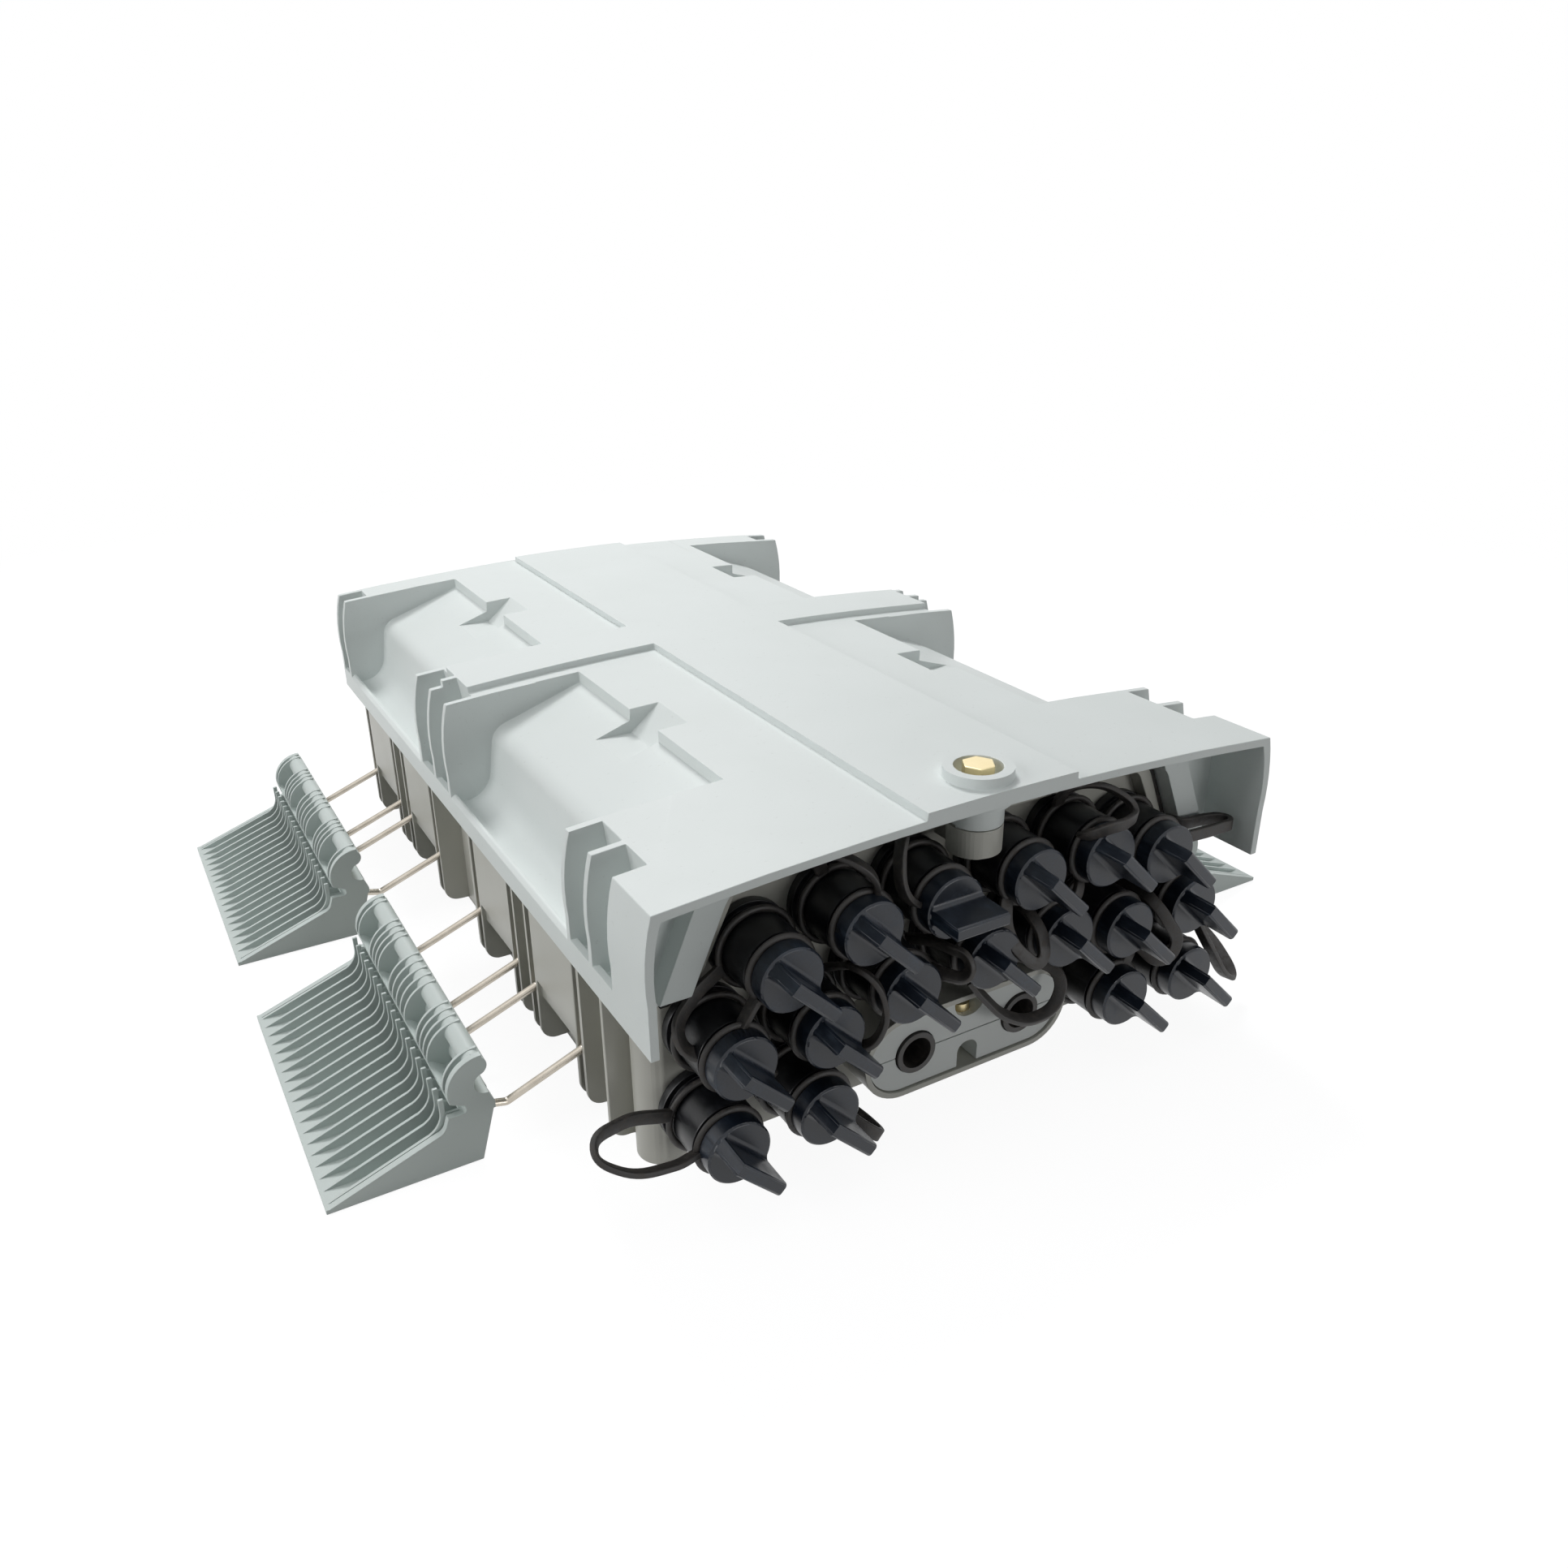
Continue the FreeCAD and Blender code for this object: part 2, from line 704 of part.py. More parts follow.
def make_latches():
    """The four latches, open, and their bails."""
    form = make_latch()
    bails = doc.addObject("Part::Feature", "bail_form")
    bails.Shape = Part.makeCompound([bail_wire(1), bail_wire(-1)])
    for row, middle in (("front", d.front_latch_place), ("back", d.back_latch_place)):
        for hand, side, turn in (("left", -1, LYING), ("right", 1, Rotation(Z_AXIS, 180))):
            latch = piece(f"{row}_{hand}_latch", group(f"{row}_{hand}_latch", form))
            place(latch, d.open_pivot_half * side, middle, d.open_pivot_height, turn)
            bail = piece(f"{row}_{hand}_bails", group(f"{row}_{hand}_bails", bails))
            place(bail, d.bail_half * side, middle, d.bail_height, turn)


def inside_rim(name, inset, front):
    """The space inside the tub's rim, which runs round the sides and the back."""
    corner = d.tub_corner - inset / 2
    return rectangle(name, -d.tub_half_width + inset, d.tub_half_width - inset, front,
                     d.tub_back - inset, LYING, {2: corner, 3: corner})


def make_tub():
    """The base moulding, without the ports and the oval entry."""
    tub_outline = rectangle(
        "tub_outline", -d.tub_half_width, d.tub_half_width, -d.tub_front, d.tub_back, LYING,
        {0: d.tub_front_corner, 1: d.tub_front_corner, 2: d.tub_corner, 3: d.tub_corner})
    block = bevelled("tub_block", slab("tub_solid", tub_outline, 0, d.tub_height, Z_AXIS),
                     d.tub_bevel, lambda edge: lies_at(edge, "z", as_size(0)))
    rim_start = d.tub_height - d.rim_depth
    space = slab("tub_space", widened("tub_inside", tub_outline, -d.wall), d.wall,
                 rim_start - d.wall, Z_AXIS)
    mouth = slab("tub_mouth", inside_rim("rim_inside", d.rim_land, -d.tub_front + d.wall), rim_start,
                 d.rim_depth + d.cut_margin, Z_AXIS)
    collar_outline = outline("collar_outline", [
        (-d.tub_half_width, d.collar_foot), (d.tub_half_width, d.collar_foot),
        (d.collar_knee_half, d.collar_knee), (d.collar_top_half, d.collar_top),
        (-d.collar_top_half, d.collar_top), (-d.collar_knee_half, d.collar_knee),
    ], rounds={3: d.collar_corner, 4: d.collar_corner})
    collar = slab("collar", collar_outline, -d.tub_front - d.collar_stand, d.collar_stand + d.wall)
    panel_face = slab("panel_face", outline("panel_face_outline", [
        (-d.tub_half_width - d.cut_margin, d.collar_foot - d.cut_margin),
        (d.tub_half_width + d.cut_margin, d.collar_foot - d.cut_margin),
        (d.tub_half_width + d.cut_margin, d.collar_foot),
        (d.collar_knee_half - d.collar_land, d.collar_knee),
        (d.collar_top_half - d.collar_land, d.collar_top - d.collar_land),
        (-d.collar_top_half + d.collar_land, d.collar_top - d.collar_land),
        (-d.collar_knee_half + d.collar_land, d.collar_knee),
        (-d.tub_half_width - d.cut_margin, d.collar_foot),
    ], rounds={4: d.collar_corner / 2, 5: d.collar_corner / 2}),
        -d.tub_front - d.collar_stand - 1, d.collar_stand + 1)
    framed = cut("framed_panel", collar, panel_face)
    return block, space, mouth, framed, collar_outline


def flank_of_tub():
    """Fins, skins and bar holes of the +X flank, where the bails hang."""
    inner = d.tub_half_width - d.wall / 2
    outer = d.flank_half_width
    fin_profile = outline("flank_fin_profile", [
        (inner, d.flank_fin_foot), (outer, d.flank_fin_foot),
        (outer, d.tub_height), (inner, d.tub_height)], rounds={1: d.flank_round})
    skin_profile = outline("flank_skin_profile", [
        (outer - d.flank_skin, d.flank_lip), (outer, d.flank_lip),
        (outer, d.tub_height), (outer - d.flank_skin, d.tub_height)])
    sill = outer - d.flank_step
    sill_profile = outline("flank_sill_profile", [
        (sill - d.flank_skin, d.flank_sill), (sill, d.flank_sill),
        (sill, d.tub_height), (sill - d.flank_skin, d.tub_height)])
    solids = [slab("bare_fin", fin_profile, -d.bare_fin_place - d.flank_fin / 2, d.flank_fin)]
    holes = []
    for row, middle in (("front", d.front_latch_place), ("back", d.back_latch_place)):
        for side in (-1, 1):
            places = [d.bail_inner_leg - d.rib_pitch / 2, d.bail_inner_leg + d.rib_pitch / 2,
                      d.bail_outer_leg - d.rib_pitch / 2, d.bail_outer_leg + d.rib_pitch / 2]
            for i, offset in enumerate(places):
                solids.append(slab(f"{row}_fin_{side}_{i}", fin_profile,
                                   middle + offset * side - d.flank_fin / 2, d.flank_fin))
            first, last = (places[1], places[2]) if side > 0 else (-places[2], -places[1])
            solids.append(slab(f"{row}_skin_{side}", skin_profile, middle + first, last - first))
            solids.append(slab(f"{row}_sill_{side}", sill_profile, middle + first, last - first))
        reach = d.bail_outer_leg + d.rib_pitch
        holes.append(drum(f"{row}_bar_hole", d.wire_hole / 2, reach * 2, d.bail_half,
                          middle - reach, d.bail_height, LAID_ALONG_Y))
    return solids, holes


def stadium(name, half_width, radius):
    """A long round-ended outline about the oval entry."""
    top, foot = d.entry_height + radius, d.entry_height - radius
    return rectangle(name, -half_width, half_width, foot, top,
                     rounds={i: radius * 0.999 for i in range(4)})


def make_base():
    block, space, mouth, framed, collar_outline = make_tub()
    flank, bar_holes = flank_of_tub()
    flank_solids = [s for solid in flank for s in both_sides(solid.Name, solid)]
    flank_holes = [s for hole in bar_holes for s in both_sides(hole.Name, hole)]
    spout_length = d.spout_front - d.tub_front + d.wall
    spout = slab("spout", stadium("spout_outline", d.spout_half_width, d.spout_radius),
                 -d.spout_front, spout_length)
    spout_space = slab(
        "spout_space", stadium("spout_inside", d.spout_half_width - d.spout_wall,
                               d.spout_radius - d.spout_wall),
        -d.spout_front - d.cut_margin, spout_length + d.cut_margin * 2)
    post = drum("post", d.post_radius, d.post_top - d.post_foot, 0, -d.bolt_place, d.post_foot)
    web_profile = rectangle("post_web_profile", -d.post_web / 2, d.post_web / 2,
                            d.post_foot, d.collar_top - 1)
    web = slab("post_web", web_profile, -d.bolt_place, d.bolt_place - d.tub_front)
    insert_hole = drum("insert_hole", d.insert_radius, d.post_top - d.post_foot + d.cut_margin * 2,
                       0, -d.bolt_place, d.post_foot - d.cut_margin)
    bores = [drum(f"port_bore_{name}", d.port_bore, d.wall + d.cut_margin, x,
                  -d.tub_front - d.cut_margin / 2, z, LAID_ALONG_Y)
             for name, (x, z) in PORTS.items()]
    bosses, boss_holes = [], []
    for i, (sx, sy) in enumerate(((-1, -1), (1, -1), (1, 1), (-1, 1))):
        bosses.append(drum(f"tray_boss_{i}", d.boss_radius, d.tray_lift - d.wall / 2,
                           d.boss_half_x * sx, d.tray_centre + d.boss_half_y * sy, d.wall / 2))
        bosses.append(drum(f"bracket_boss_{i}", d.boss_radius, d.bracket_depth + d.wall / 2,
                           d.bracket_half_x * sx, d.bracket_half_y * sy, d.wall / 2))
        boss_holes.append(drum(f"bracket_hole_{i}", d.bracket_hole, d.bracket_depth + d.cut_margin,
                               d.bracket_half_x * sx, d.bracket_half_y * sy, -d.cut_margin))
    post_middle = d.tub_half_width + d.corner_post_stand - d.corner_post_radius
    corner_posts = both_sides("corner_post", drum(
        "corner_post", d.corner_post_radius, d.tub_height,
        post_middle, -d.tub_front + d.corner_post_radius, 0))
    hollow = cut("tub_shell", joined("tub_and_panel", block, framed, spout, *corner_posts), space, mouth)
    solid = joined("base_solid", hollow, *flank_solids, post, web, *bosses)
    return cut("base", solid, spout_space, insert_hole, *bores, *flank_holes, *boss_holes), collar_outline


def recess_brink_half():
    """Half the distance between the upper edges of two facing recesses."""
    return d.skirt_half_width - d.rail_width - d.trough_width - d.recess_lean - d.recess_shelf


def recess_profiles():
    """The section of a latch recess of the +X side, and that of a slot beside it."""
    out = d.skirt_half_width + d.cut_margin
    top = d.roof_edge + d.cut_margin * 2
    rail_inner = d.skirt_half_width - d.rail_width
    foot = rail_inner - d.trough_width
    brink = recess_brink_half()
    rail = [(rail_inner, d.trough_floor), (rail_inner, d.rail_top), (out, d.rail_top), (out, top)]
    recess = outline("recess_profile", [
        (brink, top), (brink, d.recess_brink), (foot - d.recess_lean, d.recess_knee),
        (foot, d.trough_floor), *rail,
    ], rounds={2: d.recess_round, 3: d.trough_round})
    slot_back = rail_inner - d.slot_depth
    slot = outline("slot_profile", [
        (slot_back + d.slot_lean, top), (slot_back, d.slot_shoulder), (slot_back, d.trough_floor), *rail])
    return recess, slot


def cover_side_cuts():
    """What is cut from the +X side of the cover: recesses, notches and slots; and the recesses
    and notches again, wider by the wall, which the space inside stays clear of."""
    recess, slot = recess_profiles()
    recess_wide = widened("recess_wide", recess, d.wall)
    over = d.roof_edge + d.cut_margin * 2
    notch = outline("notch_profile", [
        (d.notch_half, crown_at(d.notch_half)), (d.notch_floor_half, d.notch_floor),
        (d.notch_end_half, d.notch_floor), (d.notch_end_half, over), (d.notch_half, over)])
    notch_wide = widened("notch_wide", notch, d.wall)
    edge = d.skirt_half_width - d.rail_edge
    out = d.skirt_half_width + d.cut_margin
    rail_edge = outline("rail_edge_profile", [
        (edge, d.rail_top), (edge, d.rail_top + d.rail_edge), (out, d.rail_top + d.rail_edge),
        (out, d.rail_top - d.rail_edge - d.cut_margin)])
    cuts, kept = [], []
    half = d.recess_length / 2
    for row, middle in (("front", d.front_latch_place), ("back", d.back_latch_place)):
        cuts.append(slab(f"{row}_recess", recess, middle - half, d.recess_length))
        cuts.append(slab(f"{row}_rail_edge", rail_edge, middle - half, d.recess_length))
        kept.append(slab(f"{row}_recess_skin", recess_wide, middle - half - d.wall,
                         d.recess_length + d.wall * 2))
        cuts.append(slab(f"{row}_notch", notch, middle - d.notch_length / 2, d.notch_length))
        kept.append(slab(f"{row}_notch_skin", notch_wide, middle - d.notch_length / 2 - d.wall,
                         d.notch_length + d.wall * 2))
    first = d.front_latch_place - half - d.fin_thickness
    between = d.front_latch_place + half
    step = d.slot_width + d.fin_thickness
    middle_width = (d.back_latch_place - half - between - d.fin_thickness * 3) / 2
    slots = [
        (first - d.slot_width, d.slot_width),
        (first - d.slot_width - step, d.slot_width),
        (between + d.fin_thickness, middle_width),
        (between + d.fin_thickness * 2 + middle_width, middle_width),
        (d.back_latch_place + half + d.fin_thickness,
         d.cover_back - d.wall * 2 - d.back_latch_place - half),
    ]
    for i, (start, width) in enumerate(slots):
        cuts.append(slab(f"side_slot_{i}", slot, start, width))
    return cuts, kept


def arched(name, half_foot, foot, half_width, edge, rise):
    """A section with a crowned top."""
    return outline(name, [(-half_foot, foot), (half_foot, foot), (half_width, edge), (-half_width, edge)],
                   rises={2: -rise})


def bulged(name, inset, foot, edge):
    """The section of the cover, or one inside it by an inset: plumb sides that bow in to the roof."""
    skirt, roof = d.skirt_half_width - inset, d.roof_half_width - inset
    return outline(name, [(-skirt, foot), (skirt, foot), (skirt, d.side_bend), (roof, edge),
                          (-roof, edge), (-skirt, d.side_bend)],
                   rises={2: -d.side_bulge, 3: -d.roof_rise, 4: -d.side_bulge})


def crown_at(half_width):
    """Height of the roof's arch over a distance from the middle."""
    share = half_width / d.roof_half_width
    return d.roof_edge + d.roof_rise * (1 - share * share)


def make_raised_cross():
    """The spine and crossbar that stand a step above the rest of the roof."""
    spine, bar = d.spine_half_width, d.crossbar_half_width
    front, back = -d.hood_front, d.spine_back
    bar_front, bar_back = d.crossbar_front, d.crossbar_back
    foot = d.roof_edge - d.wall / 2
    plan = slab("cross_plan", outline("cross_outline", [
        (-spine, front), (spine, front), (spine, bar_front), (bar, bar_front), (bar, bar_back),
        (spine, bar_back), (spine, back), (-spine, back), (-spine, bar_back), (-bar, bar_back),
        (-bar, bar_front), (-spine, bar_front)], LYING), foot, d.cut_margin * 2, Z_AXIS)
    crown = slab("cross_crown", arched(
        "cross_section", d.roof_half_width, foot - d.wall, d.roof_half_width,
        d.roof_edge + d.raise_step, d.roof_rise),
        front - d.cut_margin, back - front + d.cut_margin * 2)
    return shared("raised_cross", plan, crown)


def make_cover(collar_outline):
    length = d.hood_front + d.cover_back
    block = slab("cover_block", bulged("cover_section", as_size(0), d.skirt_foot, d.roof_edge),
                 -d.hood_front, length)
    raised_cross = make_raised_cross()
    cuts, kept = cover_side_cuts()
    cut_solids = [s for solid in cuts for s in both_sides(solid.Name, solid)]
    kept_solids = [s for solid in kept for s in both_sides(solid.Name, solid)]
    below = d.skirt_foot - d.cut_margin
    end_front = d.end_wall_back + d.end_wall
    hood_space = slab("hood_space", bulged("hood_space_section", d.wall, below, d.roof_edge - d.wall),
                      -d.hood_front - d.cut_margin, d.hood_front - end_front + d.cut_margin)
    inside = slab("cover_inside", arched(
        "cover_inside_section", d.space_half_width, below, d.space_half_width,
        crown_at(d.space_half_width) - d.wall,
        d.roof_edge + d.roof_rise - crown_at(d.space_half_width)), -d.end_wall_back,
        d.end_wall_back + d.cover_back - d.wall * 2)
    space = cut("cover_space", inside, *kept_solids)
    seat = d.tub_height + d.seal_height
    skirt_space = slab("skirt_space", rectangle(
        "skirt_space_section", -d.skirt_half_width + d.wall, d.skirt_half_width - d.wall, below, seat),
        -d.end_wall_back, d.end_wall_back + d.cover_back - d.wall)
    opening = slab("panel_opening", widened(
        "panel_opening_outline", collar_outline, d.seal_height, "Intersection"),
        -end_front - d.cut_margin, d.end_wall + d.cut_margin * 2)
    under_opening = slab("panel_opening_foot", rectangle(
        "panel_foot_section", -d.tub_half_width - d.seal_height * 2, d.tub_half_width + d.seal_height * 2,
        below, d.collar_foot + d.seal_height), -end_front - d.cut_margin, d.end_wall + d.cut_margin * 2)
    boss = drum("bolt_boss", d.post_radius, d.roof_edge - d.post_top + d.seat_gap,
                0, -d.bolt_place, d.post_top + d.seat_gap)
    ring = drum("bolt_ring", d.bolt_ring_radius, d.bolt_ring_top - d.roof_edge,
                0, -d.bolt_place, d.roof_edge)
    well = drum("bolt_well", d.bolt_ring_bore, d.cut_margin, 0, -d.bolt_place, d.bolt_seat)
    hole = drum("bolt_way", d.bolt_hole, d.bolt_ring_top - d.post_foot, 0, -d.bolt_place, d.post_foot)
    shell = cut("cover_shell", joined("cover_solid", block, raised_cross), hood_space, space, skirt_space,
                *cut_solids)
    band_start = -end_front - d.band_stand
    band = slab("panel_band", outline("panel_band_section", [
        (d.band_foot_half - d.band_width, d.band_foot), (d.band_foot_half, d.band_foot),
        (d.band_top_half, d.roof_edge), (d.band_top_half - d.band_width, d.roof_edge)]),
        band_start, d.band_stand + d.end_wall / 2)
    whole = joined("cover_with_boss", shell, boss, ring, *both_sides("panel_band", band))
    piece("cover", cut("cover", whole, opening, under_opening, well, hole))


def make_seal(collar_outline):
    """The seal lies on the tub's rim and goes over the collar at the front."""
    tub_outline = doc.getObject("tub_outline")
    outer = slab("seal_outer", widened("seal_outside", tub_outline, -d.seal_inset), d.tub_height,
                 d.seal_height, Z_AXIS)
    inner = slab("seal_inner", inside_rim("seal_inside", d.seal_inset + d.seal_width,
                                          -d.tub_front - d.cut_margin),
                 d.tub_height - d.seal_height, d.seal_height * 3, Z_AXIS)
    clear = slab("seal_panel_cut", rectangle(
        "seal_panel_section", -d.tub_half_width - d.cut_margin, d.tub_half_width + d.cut_margin,
        d.tub_height - d.cut_margin, d.tub_height + d.cut_margin),
        -d.tub_front - d.cut_margin, d.wall + d.cut_margin)
    rim_part = cut("seal_rim", outer, inner, clear)
    hood = slab("saddle_outer", widened(
        "saddle_outline", collar_outline, d.seal_height - d.seat_gap, "Intersection"),
        -d.tub_front - d.collar_stand + d.seat_gap, d.collar_stand + d.wall + d.seal_inset)
    core = slab("saddle_core", widened("saddle_inside", collar_outline, 0.05, "Intersection"),
                -d.tub_front - d.collar_stand - d.cut_margin, d.collar_stand + d.cut_margin * 2)
    foot = slab("saddle_foot", rectangle(
        "saddle_foot_section", -d.tub_half_width - d.cut_margin, d.tub_half_width + d.cut_margin,
        d.collar_foot - d.cut_margin, d.tub_height), -d.tub_front - d.cut_margin, d.cut_margin * 2)
    saddle = cut("seal_saddle", hood, core, foot)
    piece("cover_seal", joined("cover_seal", rim_part, saddle))


def make_ports():
    """Adapters with their lock nuts, caps and straps."""
    bore = d.adapter_bore
    adapter_profile = [
        (bore, -d.adapter_stub), (d.port_bore - d.running_gap, -d.adapter_stub),
        (d.port_bore - d.running_gap, 0), (d.flange_radius, 0),
        (d.flange_radius, d.flange_height), (d.adapter_radius, d.flange_height),
        (d.adapter_radius, d.adapter_length), (bore, d.adapter_length)]
    adapter_form = turned("adapter_form", adapter_profile)
    neck_end = d.adapter_length + d.seat_gap
    cap_turned = turned("cap_turned", [
        (0, d.cap_plug_reach), (d.cap_plug_radius, d.cap_plug_reach), (d.cap_plug_radius, neck_end),
        (d.cap_neck_radius, neck_end), (d.cap_neck_radius, d.cap_back),
        (d.cap_radius, d.cap_back), (d.cap_radius, d.cap_face - d.cap_edge),
        (d.cap_radius - d.cap_edge, d.cap_face), (0, d.cap_face)])
    half = d.wing_thickness / 2
    wing_top = d.cap_face + d.wing_height
    wing_profile = outline("wing_profile", [
        (-half - d.wing_root, d.cap_face), (-half - d.wing_root, d.cap_face - 1),
        (half + d.wing_root, d.cap_face - 1), (half + d.wing_root, d.cap_face),
        (half, d.cap_face), (half, wing_top), (-half, wing_top), (-half, d.cap_face),
    ], Rotation(Y_AXIS, -90),
        rounds={4: d.wing_root * 0.98, 7: d.wing_root * 0.98, 5: d.wing_edge, 6: d.wing_edge})
    wing_bar = doc.addObject("Part::Extrusion", "wing_bar")
    wing_bar.Base = wing_profile
    wing_bar.DirMode = "Custom"
    wing_bar.Dir = X_AXIS
    wing_bar.Solid = True
    bind(wing_bar, "LengthFwd", d.wing_half_width)
    bind(wing_bar, "LengthRev", d.wing_half_width)
    wing_round = drum("wing_round", d.cap_radius - d.cap_edge, wing_top, turn=LAID_ALONG_Y)
    wing = shared("wing", wing_bar, wing_round)
    nut_form = cut("lock_nut_form",
                   hexagon("lock_nut_hexagon", d.lock_nut_flats, d.lock_nut_height, turn=LAID_ALONG_Y),
                   drum("lock_nut_bore", d.port_bore, d.lock_nut_height + d.cut_margin * 2,
                        0, -d.cut_margin, 0, LAID_ALONG_Y))
    adapters, nuts = [], []
    for name, (x, z) in PORTS.items():
        adapter = group(f"adapter_{name}", adapter_form)
        adapters.append(place(adapter, x, -d.tub_front, z, facing(0)))
        nut = group(f"lock_nut_{name}", nut_form)
        nuts.append(place(nut, x, -d.tub_front + d.wall, z, Rotation(Y_AXIS, 30)))
        lean = 0 if name == "top_3" else WING_LEAN
        cap = piece(f"cap_{name}", joined(f"cap_{name}", cap_turned, wing))
        place(cap, x, -d.tub_front, z, facing(lean))
        strap = doc.addObject("Part::Feature", f"strap_{name}")
        strap.Shape = strap_shape(name)
        place(piece(f"strap_{name}", strap), x, -d.tub_front, z, facing(STRAPS[name][0]))
    piece("port_adapters", group("port_adapters", *adapters))
    piece("adapter_nuts", group("adapter_nuts", *nuts))


def strap_shape(name):
    """A moulded strap in its port's frame: a ring on the adapter, a ring on the cap's neck and a
    flat strip that loops from one to the other."""
    reach = STRAPS[name][1] or d.skirt_half_width.value - d.strap_side_gap.value - PORTS[name][0]
    foot = d.foot_ring_start.value + d.ring_thickness.value / 2
    neck = d.neck_ring_start.value + d.ring_thickness.value / 2
    foot_radius, neck_radius = d.foot_ring_radius.value - 1, d.neck_ring_radius.value - 1
    bend = (neck - foot) / 2
    if name == "middle_4":
        front = d.spout_front.value - d.tub_front.value + 4
        route = [(foot_radius, foot), (foot_radius + 3.4, foot + 3), (foot_radius + 4.2, front),
                 (reach - 7, front + 3), (reach, front + 7), (reach - 5, front + 12),
                 (neck_radius + 7, front + 7), (neck_radius + 2.4, neck + 1.5), (neck_radius, neck)]
    elif name == "top_6":
        clear = d.end_wall_back.value + d.end_wall.value + d.band_stand.value - d.tub_front.value
        level = clear + d.strap_thickness.value
        route = [(foot_radius, foot), (foot_radius + 3.7, foot + 0.6), (foot_radius + 5.7, level),
                 (reach - 2, level), (reach, level + 2), (reach, neck - 2), (reach - 2, neck),
                 (neck_radius, neck)]
    else:
        swell = min(bend * 0.55, (reach - foot_radius) * 0.8)
        route = [(foot_radius, foot), (reach - swell, foot - 0.4), (reach, foot + bend * 0.55),
                 (reach, neck - bend * 0.55), (reach - swell, neck + 0.4), (neck_radius, neck)]
    path = rounded_path([Vector(r, w, 0) for r, w in route], bend)
    half, thin = d.strap_width.value / 2, d.strap_thickness.value / 2
    start = path.Edges[0]
    across = start.tangentAt(start.FirstParameter).cross(Z_AXIS).normalize()
    origin = start.Vertexes[0].Point
    corners = [origin + across * (thin * a) + Z_AXIS * (half * b)
               for a, b in ((-1, -1), (1, -1), (1, 1), (-1, 1))]
    strip = path.makePipeShell([Part.makePolygon(corners + corners[:1])], True, True)
    rings = []
    for begin, outer, inner in (
            (d.foot_ring_start, d.foot_ring_radius, d.adapter_radius + d.running_gap),
            (d.neck_ring_start, d.neck_ring_radius, d.cap_neck_radius + d.running_gap)):
        base = Y_AXIS * begin.value
        ring = Part.makeCylinder(outer.value, d.ring_thickness.value, base, Y_AXIS)
        rings.append(ring.cut(Part.makeCylinder(inner.value, d.ring_thickness.value, base, Y_AXIS)))
    return strip.fuse(rings).removeSplitter().Solids[0]


